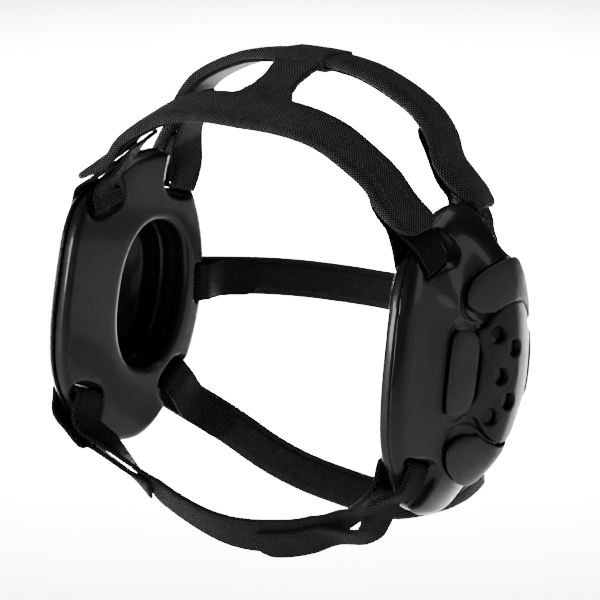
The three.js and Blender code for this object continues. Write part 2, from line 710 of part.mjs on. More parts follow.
// The webbing tail of a main strap: out from under the cover, over the bar into the slot, and
// back up on the inside, where it is pressed onto the strap.
function tailRoute(name, route, size, side) {
  const { thickness } = size;
  const inner = side > 0 ? size.innerLeft : size.innerRight;
  const slot = slotInWorld(name, side);
  const end = (distance) => (side > 0 ? route.length - distance : distance);
  const under = thickness / 2 + WEB_GAP + WEB_THICKNESS / 2;
  const twice = under + WEB_THICKNESS + SEAM_GAP + 0.3;
  const towards = inward(route);
  const on = (distance, height) => ({
    at: route.offset(end(distance), height * towards),
    side: route.frame(end(distance)).side.clone(),
  });
  const across = matchTo(slot.across, route.frame(end(10)).side);
  return new Route([
    on(OUTER_ARM, under),
    on(OUTER_ARM - 10, under),
    on(OUTER_ARM - 19, under),
    on(5, under),
    on(1, under),
    ...roundBar(slot, across, WEB_THICKNESS),
    on(slot.inset + 13, twice + 1.6),
    on(slot.inset + 20, twice + 0.1),
    on(inner - 10, twice),
    on(inner, twice),
  ]);
}

// The side of a route that faces the head, seen along its normal.
function inward(route) {
  const { at, normal } = route.frame(route.length / 2);
  return normal.dot(at) > 0 ? -1 : 1;
}

// The chin strap goes through both chin slots from the inside, down over the rim and back onto
// its own outer face. The stations of its legs are the wearer's left ones, outside the cup.
const CHIN_LINE = [
  { at: vec(-73, -46, -56.5), side: vec(-0.3, -0.8, 0.45), half: 8.8 },
  { at: vec(-45, -44.5, -75.5), side: vec(0.1, -0.55, 0.83), half: 10.2 },
  { at: vec(-8, -46, -85.5), side: vec(0, -0.5, 0.87), half: CHIN_WIDTH / 2 },
  { at: vec(28, -46, -81), side: vec(0.15, -0.5, 0.86), half: CHIN_WIDTH / 2 },
  { at: vec(46, -45, -73.5), side: vec(0.2, -0.6, 0.78), half: 10 },
  { at: vec(57.4, -44.5, -66.5), side: vec(0.3, -0.72, 0.6), half: 9.4 },
  { at: vec(68.4, -46.5, -59.2), side: vec(0.3, -0.8, 0.45), half: 8.8 },
];
const CHIN_LEG = [
  { at: vec(80.5, -51.5, -57), side: vec(-0.04, -0.85, 0.52), half: 8.5 },
  { at: vec(75.5, -48.2, -65.5), side: vec(0, -0.85, 0.53), half: 8 },
  { at: vec(72, -46.8, -70.2), side: vec(0.05, -0.82, 0.57), half: 7.6 },
  { at: vec(66.1, -46.8, -73.3), side: vec(0.1, -0.8, 0.6), half: 8 },
];
const CHIN_TAIL = 46; // the square end on the wearer's right lies this far from the slot
const CHIN_TAB = 86; // and the rounded end on the left this far
const TAB_START = 47; // from here on the left end is pressed onto the strap
const TAB_HALF = 8.2;
const TAB_DROP = 3; // its middle lies this much lower than the strap's
const LEG_DEPTH = 0.5; // of the leg's middle, just past the rim
function chinRoute() {
  const ends = Object.fromEntries(
    [1, -1].map((side) => {
      const slot = slotInWorld("chin", side);
      const across = matchTo(slot.across, CHIN_LINE[0].side);
      const out = (distance, depth) => ({ at: slot.at(distance, depth), side: across });
      const stations = [
        out(slot.inset + 6.5, LEG_DEPTH),
        out(slot.inset + 0.5, slot.above(slot.inset + 0.5, SEAM_GAP + CHIN_THICKNESS / 2 + 0.25)),
        ...roundBar(slot, across, CHIN_THICKNESS),
      ];
      stations.forEach((s) => Object.assign(s, { half: TAIL_WIDTH / 2 }));
      return [side, stations];
    }),
  );
  const mirrored = ({ at, side, half }) => ({
    at: at.clone().multiply(vec(-1, 1, 1)),
    side: matchTo(side.clone().multiply(vec(-1, 1, 1)), CHIN_LINE[0].side),
    half,
  });
  const inner = (side) => ends[side][ends[side].length - 1];
  const base = new Route([inner(-1), ...CHIN_LINE, inner(1)]);
  const { normal } = base.frame(base.length / 2);
  const outer = normal.dot(vec(0, -1, -1)) > 0 ? 1 : -1;
  const touching = CHIN_THICKNESS + SEAM_GAP;
  const on = (distance, height, half, drop = 0) => {
    const { side } = base.frame(distance);
    return { at: base.offset(distance, height * outer).addScaledVector(side, -drop), side, half };
  };
  const back = (distance, height) => on(base.length - distance, height, TAB_HALF, TAB_DROP);
  return new Route([
    on(CHIN_TAIL, touching + 0.1, 9),
    on(CHIN_TAIL - 14, touching + 1, 9),
    mirrored(CHIN_LEG[0]),
    ...ends[-1],
    ...CHIN_LINE,
    ...ends[1].reverse(),
    ...CHIN_LEG,
    back(TAB_START, touching + 0.5),
    back(TAB_START + 13, touching + 0.1),
    back(TAB_START + 26, touching + 0.1),
    back(CHIN_TAB, touching + 0.1),
  ]);
}

const chinStrap = (margin = 0) =>
  strap(chinRoute(), {
    margin,
    thickness: CHIN_THICKNESS + 2 * margin,
    step: 8,
    rounded: [false, true],
  });

// The bridge from the front crown strap back to a sleeve that is folded round the rear one.
const BRIDGE = [
  { at: vec(0, -36, 107.2), side: vec(1, 0, 0), half: 25 },
  { at: vec(0, -27, 111), side: vec(1, 0, 0), half: 19 },
  { at: vec(0, -20, 114.2), side: vec(1, 0, 0), half: 11.5 },
  { at: vec(0, -12, 117.6), side: vec(1, 0, 0), half: 9.8 },
  { at: vec(0, -4, 120.8), side: vec(1, 0, 0), half: 11 },
  { at: vec(0, 3, 123.4), side: vec(1, 0, 0), half: 13.4 },
];
const BRIDGE_THICKNESS = 3.4;
function frontWithBridge(front, rear) {
  const cover = strap(front, { half: CROWN_WIDTH / 2, thickness: CROWN_THICKNESS, section: PADDED_SECTION });
  const bridge = strap(new Route(BRIDGE), {
    thickness: BRIDGE_THICKNESS,
    step: 5,
    rounded: [false, false],
  });
  const around = (margin, length) =>
    strap(rear, {
      half: CROWN_WIDTH / 2 + margin,
      thickness: CROWN_THICKNESS + SEAM_GAP + LINING_THICKNESS + 2 * margin,
      height: (inward(rear) * (SEAM_GAP + LINING_THICKNESS)) / 2,
      from: (rear.length - length) / 2,
      to: (rear.length + length) / 2,
      rounded: [false, false],
    });
  const wrapped = join(cover, bridge, around(SEAM_GAP + SLEEVE_WALL, SLEEVE_WIDTH));
  return cut(wrapped, around(SEAM_GAP, SLEEVE_WIDTH + 20));
}

// Materials
const finish = (color, roughness) => new THREE.MeshStandardMaterial({ color, roughness, metalness: 0 });
const materials = {
  shell: finish(0x17181a, 0.35),
  foam: finish(0x1d1e20, 0.5),
  plate: finish(0x1f2022, 0.45),
  gel: finish(0x2c2d31, 0.6),
  cover: finish(0x1b1c1e, 0.9),
  webbing: finish(0x151515, 0.95),
  lining: finish(0x232426, 0.8),
};

const guard = new THREE.Group();
function add(parent, name, geometry, material) {
  const mesh = new THREE.Mesh(geometry, material.clone());
  mesh.name = name;
  parent.add(mesh);
}

// The cups, with room for the chin strap where it crosses their rims
const chinClearances = [1, -1].map((mirror) =>
  chinStrap(SEAM_GAP).scale(mirror, 1, 1).applyMatrix4(cupFrame.clone().invert()),
);
const shell = cut(cupShell(), ...chinClearances);
const foam = cut(earPad(), ...chinClearances);
const plate = ventPlate();
const gels = Object.fromEntries(Object.keys(PADS).map((name) => [name, gelPad(name)]));
for (const [label, mirror] of [["left", 1], ["right", -1]]) {
  const placed = new THREE.Group();
  placed.applyMatrix4(cupFrame);
  add(placed, `${label}_cup_shell`, shell, materials.shell);
  add(placed, `${label}_ear_pad`, foam, materials.foam);
  add(placed, `${label}_vent_plate`, plate, materials.plate);
  for (const [name, geometry] of Object.entries(gels))
    add(placed, `${label}_${name}`, geometry, materials.gel);
  const cup = new THREE.Group();
  cup.scale.x = mirror;
  cup.add(placed);
  guard.add(cup);
}

// Crown and nape straps, their linings and tails
const STRAPS = {
  crown_front: { half: CROWN_WIDTH / 2, thickness: CROWN_THICKNESS, innerLeft: 40, innerRight: 54 },
  crown_rear: { half: CROWN_WIDTH / 2, thickness: CROWN_THICKNESS, innerLeft: 56, innerRight: 56 },
  nape_upper: { half: NAPE_WIDTH / 2, thickness: NAPE_THICKNESS, innerLeft: 40, innerRight: 40 },
  nape_lower: { half: NAPE_WIDTH / 2, thickness: NAPE_THICKNESS, innerLeft: 48, innerRight: 48 },
};
const routes = Object.fromEntries(
  Object.entries(STRAPS).map(([name, { thickness }]) => [name, mainRoute(name, thickness)]),
);
for (const [name, size] of Object.entries(STRAPS)) {
  const { half, thickness } = size;
  const route = routes[name];
  const cover =
    name === "crown_front"
      ? frontWithBridge(route, routes.crown_rear)
      : strap(route, { half, thickness, section: PADDED_SECTION });
  add(guard, `${name}_strap`, cover, materials.cover);
  const sections = route.grid(STRAP_STEP);
  const lining = strap(route, {
    half: half - LINING_MARGIN,
    thickness: LINING_THICKNESS,
    from: sections.find((d) => d >= LINING_START),
    to: sections.findLast((d) => d <= route.length - LINING_START),
    rounded: [false, false],
    height: inward(route) * (thickness / 2 + SEAM_GAP + LINING_THICKNESS / 2),
  });
  add(guard, `${name}_lining`, lining, materials.lining);
  for (const [label, side] of [["left", 1], ["right", -1]]) {
    const tail = strap(tailRoute(name, route, size, side), {
      half: TAIL_WIDTH / 2,
      thickness: WEB_THICKNESS,
      step: 7,
      rounded: [false, true],
    });
    add(guard, `${name}_tail_${label}`, tail, materials.webbing);
  }
}
add(guard, "chin_strap", chinStrap(), materials.webbing);

export default guard;
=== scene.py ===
# Wrestling ear guard: the finished surfaces and materials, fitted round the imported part.
# Lengths are in millimetres until a mesh is made. +Z is up, the wearer faces -Y, their left is +X.
import math
from collections import namedtuple

import bmesh
import bpy
import numpy as np
from mathutils import Matrix, Vector


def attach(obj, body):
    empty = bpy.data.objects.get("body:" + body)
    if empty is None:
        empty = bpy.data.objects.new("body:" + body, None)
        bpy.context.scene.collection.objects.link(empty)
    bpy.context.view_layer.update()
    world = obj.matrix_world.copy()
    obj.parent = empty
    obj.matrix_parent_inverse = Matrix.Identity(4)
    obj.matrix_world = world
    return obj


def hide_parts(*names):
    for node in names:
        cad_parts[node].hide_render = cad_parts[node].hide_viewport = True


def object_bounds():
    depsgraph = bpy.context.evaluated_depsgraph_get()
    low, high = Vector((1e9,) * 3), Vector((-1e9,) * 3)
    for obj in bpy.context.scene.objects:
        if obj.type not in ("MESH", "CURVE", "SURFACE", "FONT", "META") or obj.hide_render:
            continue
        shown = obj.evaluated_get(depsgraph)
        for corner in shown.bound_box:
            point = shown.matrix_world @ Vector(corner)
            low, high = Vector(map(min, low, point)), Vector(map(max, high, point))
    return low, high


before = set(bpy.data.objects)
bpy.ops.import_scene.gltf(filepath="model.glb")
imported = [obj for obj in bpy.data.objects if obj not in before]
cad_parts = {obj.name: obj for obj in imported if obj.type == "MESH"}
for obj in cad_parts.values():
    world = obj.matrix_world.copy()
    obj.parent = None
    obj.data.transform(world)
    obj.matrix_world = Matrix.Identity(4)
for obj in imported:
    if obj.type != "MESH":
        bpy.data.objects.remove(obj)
cad_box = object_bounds()

MM = 0.001

# Cup sizes
EAR_SPACING = 156.0
CUP_WIDTH = 92.0
CUP_HEIGHT = 137.0
CUP_FORWARD = 16.0
CUP_TOE_DEG = 6.5
CUP_TILT_DEG = 11.6
FOAM_THICKNESS = 6.4
SEAM_GAP = 0.35
WEB_GAP = 0.6
SHELL_RISE = 30.2
SHELL_WALL = 3.2
DOME_BEHIND = 11.0
DOME_BELOW = 1.0
EAR_OPENING_WIDTH = 43.0
EAR_OPENING_HEIGHT = 70.0
EAR_OPENING_RAISE = 3.0
EAR_SQUARENESS = 2.3  # 2 is an ellipse
CAVITY_UNDERCUT = 2.2
RIM_DEPTH = 8.8
SEAM_DEPTH = FOAM_THICKNESS + SEAM_GAP

# Vent plate and gel pads
PLATE_WIDTH = 35.0
PLATE_HEIGHT = 62.0
PLATE_THICKNESS = 2.6
PLATE_SQUARENESS = 2.4
GEL_THICKNESS = 3.6
PAD_LIFT = 1.0

# Straps
CROWN_WIDTH = 23.0
CROWN_THICKNESS = 4.4
NAPE_WIDTH = 18.5
NAPE_THICKNESS = 3.0
TAIL_WIDTH = 17.5
WEB_THICKNESS = 1.6
LINING_MARGIN = 3.2
LINING_THICKNESS = 1.2
LINING_START = 34.0
END_RADIUS = 8.0
OUTER_ARM = 30.0
SLEEVE_WIDTH = 27.0
SLEEVE_WALL = 1.5
CHIN_WIDTH = 21.0
CHIN_THICKNESS = 2.2
SLOT_LENGTH = 20.5
SLOT_WIDTH = 3.6
CLOSE_SLOT_LENGTH = 18.8  # the slots close softly round the tails
CLOSE_SLOT_WIDTH = 2.8


def table(kind, *rows):
    return [kind(*row) for row in rows]


# The cup's outline seen from the side, as shares of its half width and half height
OutlineRow = namedtuple("OutlineRow", "forward up")
OUTLINE = table(
    OutlineRow,
    (0.0, 1.0), (0.2, 0.965), (0.38, 0.89), (0.64, 0.775), (0.87, 0.665), (0.97, 0.5),
    (1.0, 0.2), (0.98, -0.25), (0.88, -0.53), (0.64, -0.76), (0.34, -0.93), (0.03, -0.985),
    (-0.3, -0.97), (-0.52, -0.88), (-0.68, -0.74), (-0.89, -0.47), (-0.98, -0.22),
    (-1.0, 0.06), (-0.94, 0.34), (-0.83, 0.55), (-0.69, 0.72), (-0.52, 0.88), (-0.34, 0.98),
    (-0.16, 1.01),
)

# How far the dome has risen at a share of the way from its middle to the rim
RiseRow = namedtuple("RiseRow", "share side bottom front")
RISE = table(
    RiseRow,
    (0, 1, 1, 1),
    (0.2, 0.98, 0.98, 0.86),
    (0.35, 0.94, 0.94, 0.69),
    (0.5, 0.88, 0.86, 0.53),
    (0.62, 0.82, 0.7, 0.43),
    (0.74, 0.71, 0.5, 0.33),
    (0.84, 0.55, 0.34, 0.25),
    (0.92, 0.33, 0.21, 0.18),
    (0.97, 0.16, 0.12, 0.11),
    (1, 0, 0, 0),
)

# Where the straps go through the rim: bearing and heading in degrees above forward
SlotRow = namedtuple("SlotRow", "bearing heading inset reach slope")
SLOTS = {
    "crown_front": SlotRow(59, 66, 10, 13.5, 0.55),
    "crown_rear": SlotRow(109, 99, 10.5, 14, 0.6),
    "nape_upper": SlotRow(170, 172, 5.8, 8.4, 0.4),
    "nape_lower": SlotRow(228, 221, 8.5, 12, 0.4),
    "chin": SlotRow(296, 281, 12.5, 16, 0.3),
}

# The vents, from the middle of the dome
VentRow = namedtuple("VentRow", "forward up")
VENTS = table(
    VentRow,
    (10.5, 16.5), (2.3, 11), (8.5, -1.5), (2.9, -12.6), (10, -19.5),
)

# Gel pads: the middle line and half width of each, in shares of the plate's half sizes
PadRow = namedtuple("PadRow", "forward up half")
PADS = {
    "gel_upper": table(
        PadRow,
        (1.14, 0.84, 6.0), (1.08, 0.94, 6.8), (0.9, 1.1, 8.0), (0.5, 1.24, 8.2),
        (0, 1.29, 8.4), (-0.5, 1.22, 8), (-0.95, 1.06, 7), (-1.24, 0.84, 5.4),
        (-1.34, 0.7, 4.6),
    ),
    "gel_front": table(
        PadRow,
        (1.48, 0.58, 4.9), (1.49, 0.48, 5.3), (1.5, 0.3, 5.9), (1.51, 0, 5.9),
        (1.5, -0.3, 5.9), (1.48, -0.52, 5.3), (1.46, -0.62, 4.9),
    ),
    "gel_lower": table(
        PadRow,
        (1.2, -0.94, 6.2), (1.1, -1.05, 7.2), (0.9, -1.2, 8.4), (0.5, -1.32, 8.8),
        (0, -1.35, 8.4), (-0.5, -1.28, 7.6), (-0.95, -1.1, 6.4), (-1.22, -0.88, 5.0),
        (-1.3, -0.76, 4.4),
    ),
    "gel_rear": table(
        PadRow,
        (-1.36, 0.55, 3.4), (-1.38, 0.46, 3.8), (-1.4, 0.2, 4.4), (-1.4, -0.25, 4.4),
        (-1.37, -0.52, 3.8), (-1.35, -0.62, 3.4),
    ),
}

# Stations of the straps: a place, the way that the strap is wide there, its half width, and
# how much higher it lies on the wearer's left
Station = namedtuple("Station", "at side half lift", defaults=(0.0, 0.0))
HALF_ROUTES = {
    "crown_front": [
        Station((0, -36.6, 107.8), (0, 0.92, 0.39)),
        Station((24, -36, 106.8), (0.04, 0.93, 0.34)),
        Station((42.4, -35.5, 102.6), (0.08, 0.95, 0.26)),
        Station((56.3, -35, 95.2), (0.12, 0.97, 0.18)),
        Station((68.4, -34.5, 86.8), (0.15, 0.98, 0.12)),
        Station((76.6, -34, 77), (0.2, 0.95, 0.15)),
    ],
    "crown_rear": [
        Station((0, 12.5, 123.8), (0, 0.99, -0.1)),
        Station((18, 12.7, 123), (0, 0.99, -0.1)),
        Station((34.7, 13, 119.6), (0.0, 0.99, -0.12)),
        Station((59, 14, 107.2), (-0.03, 1, -0.1)),
        Station((68.2, 13.8, 96.7), (-0.03, 1, -0.05)),
        Station((73.4, 13, 85), (-0.02, 1, 0)),
    ],
    "nape_upper": [
        Station((0, 95, -8), (0, 0.1, 1)),
        Station((33, 90.5, -7), (0, 0.1, 1)),
        Station((62, 74, -4), (0, 0.1, 1)),
    ],
    "nape_lower": [
        Station((0, 81, -107.5), (0, 0.5, 0.86)),
        Station((30, 77.5, -104.5), (-0.15, 0.5, 0.85), lift=8),
        Station((47, 69, -97.5), (-0.3, 0.48, 0.82), lift=12),
        Station((58, 59.5, -88.5), (-0.38, 0.45, 0.8), lift=12),
        Station((71, 45, -73), (-0.45, 0.45, 0.77), lift=8),
    ],
}
CHIN_LINE = [
    Station((-73, -46, -56.5), (-0.3, -0.8, 0.45), 8.8),
    Station((-45, -44.5, -75.5), (0.1, -0.55, 0.83), 10.2),
    Station((-8, -46, -85.5), (0, -0.5, 0.87), CHIN_WIDTH / 2),
    Station((28, -46, -81), (0.15, -0.5, 0.86), CHIN_WIDTH / 2),
    Station((46, -45, -73.5), (0.2, -0.6, 0.78), 10),
    Station((57.4, -44.5, -66.5), (0.3, -0.72, 0.6), 9.4),
    Station((68.4, -46.5, -59.2), (0.3, -0.8, 0.45), 8.8),
]
CHIN_LEG = [
    Station((80.5, -51.5, -57), (-0.04, -0.85, 0.52), 8.5),
    Station((75.5, -48.2, -65.5), (0, -0.85, 0.53), 8),
    Station((72, -46.8, -70.2), (0.05, -0.82, 0.57), 7.6),
    Station((66.1, -46.8, -73.3), (0.1, -0.8, 0.6), 8),
]
CHIN_TAIL = 46.0
CHIN_TAB = 86.0
TAB_START = 47.0
TAB_HALF = 8.2
TAB_DROP = 3.0
LEG_DEPTH = 0.5
BRIDGE = [
    Station((0, -36, 107.2), (1, 0, 0), 26),
    Station((0, -31, 109.3), (1, 0, 0), 23.5),
    Station((0, -27, 111), (1, 0, 0), 17.6),
    Station((0, -23, 112.8), (1, 0, 0), 13.4),
    Station((0, -18, 115), (1, 0, 0), 10.9),
    Station((0, -12, 117.6), (1, 0, 0), 9.9),
    Station((0, -4, 120.8), (1, 0, 0), 11),
    Station((0, 3, 123.4), (1, 0, 0), 13.4),
]
BRIDGE_THICKNESS = 3.4


# Smooth lines
def smoothstep(value, low=0.0, high=1.0):
    share = np.clip((value - low) / (high - low), 0, 1)
    return share * share * (3 - 2 * share)


def bell(value, middle, width):
    """1 at the middle, falling off smoothly to both sides."""
    return np.exp(-(((value - middle) / width) ** 2))


def blunted(value, power):
    """A sine or cosine with its round form drawn out towards a box."""
    return np.sign(value) * np.abs(value) ** power


def cubic(start, end, lead, tail, share):
    """A place between start and end on a curve with these slopes."""
    bend = 3 * (end - start) - 2 * lead - tail
    return start + lead * share + bend * share**2 + (2 * (start - end) + lead + tail) * share**3


def between_points(before, start, end, after, share):
    """A place between start and end on a smooth line through four points."""
    gaps = [
        max((q - p).length_squared ** 0.25, 1e-4)
        for p, q in ((before, start), (start, end), (end, after))
    ]
    here = (end - start) / gaps[1]
    lead = (start - before) / gaps[0] - (end - before) / (gaps[0] + gaps[1]) + here
    tail = here - (after - start) / (gaps[1] + gaps[2]) + (after - end) / gaps[2]
    return cubic(start, end, lead * gaps[1], tail * gaps[1], share)


def read_column(rows, key, column, values):
    """Smooth reading of one column of a table between its rows."""
    keys = np.array([getattr(row, key) for row in rows], float)
    heights = np.array([getattr(row, column) for row in rows], float)
    slopes = np.empty_like(heights)
    slopes[1:-1] = (heights[2:] - heights[:-2]) / (keys[2:] - keys[:-2])
    slopes[0] = (heights[1] - heights[0]) / (keys[1] - keys[0])
    slopes[-1] = (heights[-1] - heights[-2]) / (keys[-1] - keys[-2])
    i = np.clip(np.searchsorted(keys, values) - 1, 0, len(keys) - 2)
    span = keys[i + 1] - keys[i]
    t = np.clip((values - keys[i]) / span, 0, 1)
    return (
        (2 * t**3 - 3 * t**2 + 1) * heights[i]
        + (t**3 - 2 * t**2 + t) * slopes[i] * span
        + (3 * t**2 - 2 * t**3) * heights[i + 1]
        + (t**3 - t**2) * slopes[i + 1] * span
    )


Frame = namedtuple("Frame", "at side normal half")


class Route:
    """A smooth line with, all along it, the way that a strap is wide and its half width."""

    SAMPLES = 400

    def __init__(self, stations):
        self.stations = [s._replace(at=Vector(s.at), side=Vector(s.side)) for s in stations]
        places = [s.at for s in self.stations]
        self.places = [2 * places[0] - places[1], *places, 2 * places[-1] - places[-2]]
        self.shares = np.linspace(0, 1, self.SAMPLES + 1)
        points = [self.point(share) for share in self.shares]
        steps = [(b - a).length for a, b in zip(points, points[1:])]
        self.lengths = np.concatenate([[0], np.cumsum(steps)])
        self.length = float(self.lengths[-1])

    def span(self, share):
        place = share * (len(self.stations) - 1)
        i = min(int(place), len(self.stations) - 2)
        return i, place - i

    def point(self, share):
        i, part = self.span(share)
        return between_points(*self.places[i : i + 4], part)

    def frame(self, distance):
        share = float(np.interp(distance, self.lengths, self.shares))
        reach = 1e-4
        along = self.point(min(share + reach, 1)) - self.point(max(share - reach, 0))
        along.normalize()
        i, part = self.span(share)
        a, b = self.stations[i : i + 2]
        side = a.side.normalized().lerp(b.side.normalized(), part)
        side = (side - along * side.dot(along)).normalized()
        half = a.half + (b.half - a.half) * float(smoothstep(part))
        return Frame(self.point(share), side, along.cross(side).normalized(), half)

    def inward(self):
        """Which way of its normal the head lies."""
        middle = self.frame(self.length / 2)
        return -1 if middle.normal.dot(middle.at) > 0 else 1


def flip(vector, side=-1):
    return Vector((vector[0] * side, vector[1], vector[2]))


def match(side, other):
    return -Vector(side) if Vector(side).dot(Vector(other)) < 0 else Vector(side)


# The cup: places on it are forward, up and depth from the middle of its inner face
CUP = (
    Matrix.Translation((EAR_SPACING / 2, 0, 0))
    @ Matrix.Rotation(math.radians(CUP_TOE_DEG), 4, "Z")
    @ Matrix.Rotation(-math.radians(CUP_TILT_DEG), 4, "X")
    @ Matrix.Translation((0, -CUP_FORWARD, 0))
)
CUP_PLACE = CUP.copy()  # in metres
CUP_PLACE.translation = CUP.translation * MM
CENTRE = np.array([-DOME_BEHIND, -DOME_BELOW])


def on_cup(places, depth):
    """Points in the cup's own frame from places that hold forward and up."""
    depth = np.broadcast_to(depth, places.shape[:-1])
    return np.stack([depth, -places[..., 0], places[..., 1]], -1)


def cup_to_part(points, side=1):
    """Points in the cup's frame brought into the part's frame, for the wearer's left or right."""
    turned = points @ np.array(CUP.to_3x3()).T + np.array(CUP.translation)
    return turned * np.array([side, 1, 1])


def closed_rim(steps):
    corners = [Vector((r.forward * CUP_WIDTH / 2, r.up * CUP_HEIGHT / 2)) for r in OUTLINE]
    count = len(corners)
    line = []
    for i in range(count):
        four = [corners[(i + k) % count] for k in (-1, 0, 1, 2)]
        line += [between_points(*four, k / steps) for k in range(steps)]
    return np.array(line)


RIM_STEPS = 12  # between two rows of the outline
RIM = closed_rim(RIM_STEPS)


def ray_reach(middle, bearing):
    """Distance from a place to the rim along a bearing."""
    way = (math.cos(bearing), math.sin(bearing))
    edge = np.roll(RIM, -1, 0) - RIM
    start = RIM - np.array(middle)
    across = way[0] * edge[:, 1] - way[1] * edge[:, 0]
    along = (start[:, 0] * edge[:, 1] - start[:, 1] * edge[:, 0]) / across
    share = (start[:, 0] * way[1] - start[:, 1] * way[0]) / across
    return float(along[(along > 0) & (share >= 0) & (share <= 1)].max(initial=0))


ALL_ROUND = np.linspace(-math.pi, math.pi, 2 * 360 + 1)  # every half degree
REACHES = np.array([ray_reach(CENTRE, bearing) for bearing in ALL_ROUND])


def rim_reach(bearing):
    return np.interp(bearing, ALL_ROUND, REACHES, period=2 * math.pi)


# Between these shares of the way round, the front and the bottom take on their own form
FRONT_SPREAD = (0.05, 0.85)
BOTTOM_SPREAD = (0.35, 0.85)


def surface_depth(places):
    """Depth of the cup's outer surface over places on it."""
    away = places - CENTRE
    distance = np.maximum(np.hypot(away[..., 0], away[..., 1]), 1e-6)
    share = np.minimum(1, distance / rim_reach(np.arctan2(away[..., 1], away[..., 0])))
    frontness = smoothstep(away[..., 0] / distance, *FRONT_SPREAD)
    lowness = smoothstep(-away[..., 1] / distance, *BOTTOM_SPREAD)
    side, bottom, front = (
        read_column(RISE, "share", name, share) for name in ("side", "bottom", "front")
    )
    rear = side + (bottom - side) * lowness
    return SEAM_DEPTH + SHELL_RISE * (rear + (front - rear) * frontness)


def surface_normal(places):
    """Square to the outer surface, as forward, up and depth."""
    step = 1.0
    slopes = [
        (surface_depth(places + way) - surface_depth(places - way)) / (2 * step)
        for way in (np.array([step, 0]), np.array([0, step]))
    ]
    normal = np.stack([-slopes[0], -slopes[1], np.ones_like(slopes[0])], -1)
    return normal / np.linalg.norm(normal, axis=-1, keepdims=True)


def above_shell(places, height):
    """Points at a height above the outer surface, square to it, in the cup's frame."""
    normal = surface_normal(places) * np.broadcast_to(height, places.shape[:-1])[..., None]
    return on_cup(places + normal[..., :2], surface_depth(places) + normal[..., 2])


def oval_reach(bearing, width, height, squareness):
    c, s = np.abs(np.cos(bearing)), np.abs(np.sin(bearing))
    return ((c / (width / 2)) ** squareness + (s / (height / 2)) ** squareness) ** (-1 / squareness)


def around(bearing, reach, raise_by=0.0):
    way = np.stack([np.cos(bearing), np.sin(bearing)], -1)
    return CENTRE + np.array([0, raise_by]) + way * np.asarray(reach)[..., None]


def ear_oval(bearing, wider):
    width, height = EAR_OPENING_WIDTH + 2 * wider, EAR_OPENING_HEIGHT + 2 * wider
    reach = oval_reach(bearing, width, height, EAR_SQUARENESS)
    return around(bearing, reach, EAR_OPENING_RAISE)


class Slot:
    """A slot in one cup, with the hollow that leads into it."""

    def __init__(self, name, side=1):
        row = SLOTS[name]
        self.inset, self.reach, self.slope = row.inset, row.reach, row.slope
        self.heading = math.radians(row.heading)
        self.along = np.array([math.cos(self.heading), math.sin(self.heading)])
        self.across = np.array([-self.along[1], self.along[0]])
        bearing = math.radians(row.bearing)
        self.rim = np.array([math.cos(bearing), math.sin(bearing)]) * ray_reach((0, 0), bearing)
        self.middle = self.rim - self.along * row.inset
        edges = [self.middle + self.across * w for w in (-TAIL_WIDTH / 2, TAIL_WIDTH / 2)]
        self.past = max(row.inset, *(ray_reach(edge, self.heading) for edge in edges))
        self.side = side
        turned = CUP.to_3x3() @ Vector((0, -self.across[0], self.across[1]))
        self.wide = flip(turned, side)

    def floor(self, out):
        return RIM_DEPTH + self.slope * (self.inset - out)

    def above(self, out, height):
        return self.floor(out) + height * math.hypot(1, self.slope)

    def at(self, out, depth):
        place = self.middle + self.along * out
        return Vector(cup_to_part(on_cup(place, depth), self.side))


# Meshes
def bend_sheet(points, weave=None):
    """A flat sheet of cells, bent so that its corners come to the points given in millimetres.
    Edges and corners that meet are welded, which closes tubes, seams and poles."""
    rows, columns = points.shape[:2]
    bm = bmesh.new()
    bmesh.ops.create_grid(bm, x_segments=rows - 1, y_segments=columns - 1, size=1)
    reach = max(vert.co.x for vert in bm.verts)
    cells = {}
    for vert in bm.verts:
        i = round((vert.co.x / reach + 1) / 2 * (rows - 1))
        j = round((vert.co.y / reach + 1) / 2 * (columns - 1))
        cells[vert] = (i, j)
    if weave is not None:
        layer = bm.loops.layers.uv.new("weave")
        for face in bm.faces:
            for loop in face.loops:
                loop[layer].uv = weave[cells[loop.vert]]
    for vert, cell in cells.items():
        vert.co = points[cell] * MM
    bmesh.ops.remove_doubles(bm, verts=bm.verts, dist=1e-3 * MM)
    bmesh.ops.recalc_face_normals(bm, faces=bm.faces)
    return bm


def to_object(name, bm):
    mesh = bpy.data.meshes.new(name)
    bm.to_mesh(mesh)
    bm.free()
    mesh.shade_smooth()
    obj = bpy.data.objects.new(name, mesh)
    bpy.context.scene.collection.objects.link(obj)
    return obj


def finish_piece(obj, material, nodes):
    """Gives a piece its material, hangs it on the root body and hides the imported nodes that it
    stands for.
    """
    obj.data.materials.clear()
    obj.data.materials.append(material)
    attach(obj, "root")
    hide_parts(*nodes)
    return obj


def settled(obj):
    """The object's mesh with its modifiers applied, as a bmesh, and the object taken away."""
    bpy.context.view_layer.update()
    evaluated = obj.evaluated_get(bpy.context.evaluated_depsgraph_get())
    bm = bmesh.new()
    bm.from_mesh(evaluated.to_mesh())
    evaluated.to_mesh_clear()
    bpy.data.objects.remove(obj)
    return bm


def carve(body, cutters, voxel, rounds):
    """Cuts shapes out of a body, then re-skins it so that its edges are soft, as moulded."""
    obj = to_object("body_to_carve", body)
    tools = [to_object(f"cutter_{i}", cutter) for i, cutter in enumerate(cutters)]
    for tool in tools:
        boolean = obj.modifiers.new("cut", "BOOLEAN")
        boolean.solver = "MANIFOLD"
        boolean.object = tool
    remesh = obj.modifiers.new("skin", "REMESH")
    remesh.mode = "VOXEL"
    remesh.voxel_size = voxel * MM
    bm = settled(obj)
    for tool in tools:
        bpy.data.objects.remove(tool)
    for _ in range(rounds):
        bmesh.ops.smooth_vert(
            bm, verts=bm.verts, factor=0.5, use_axis_x=True, use_axis_y=True, use_axis_z=True
        )
    return bm


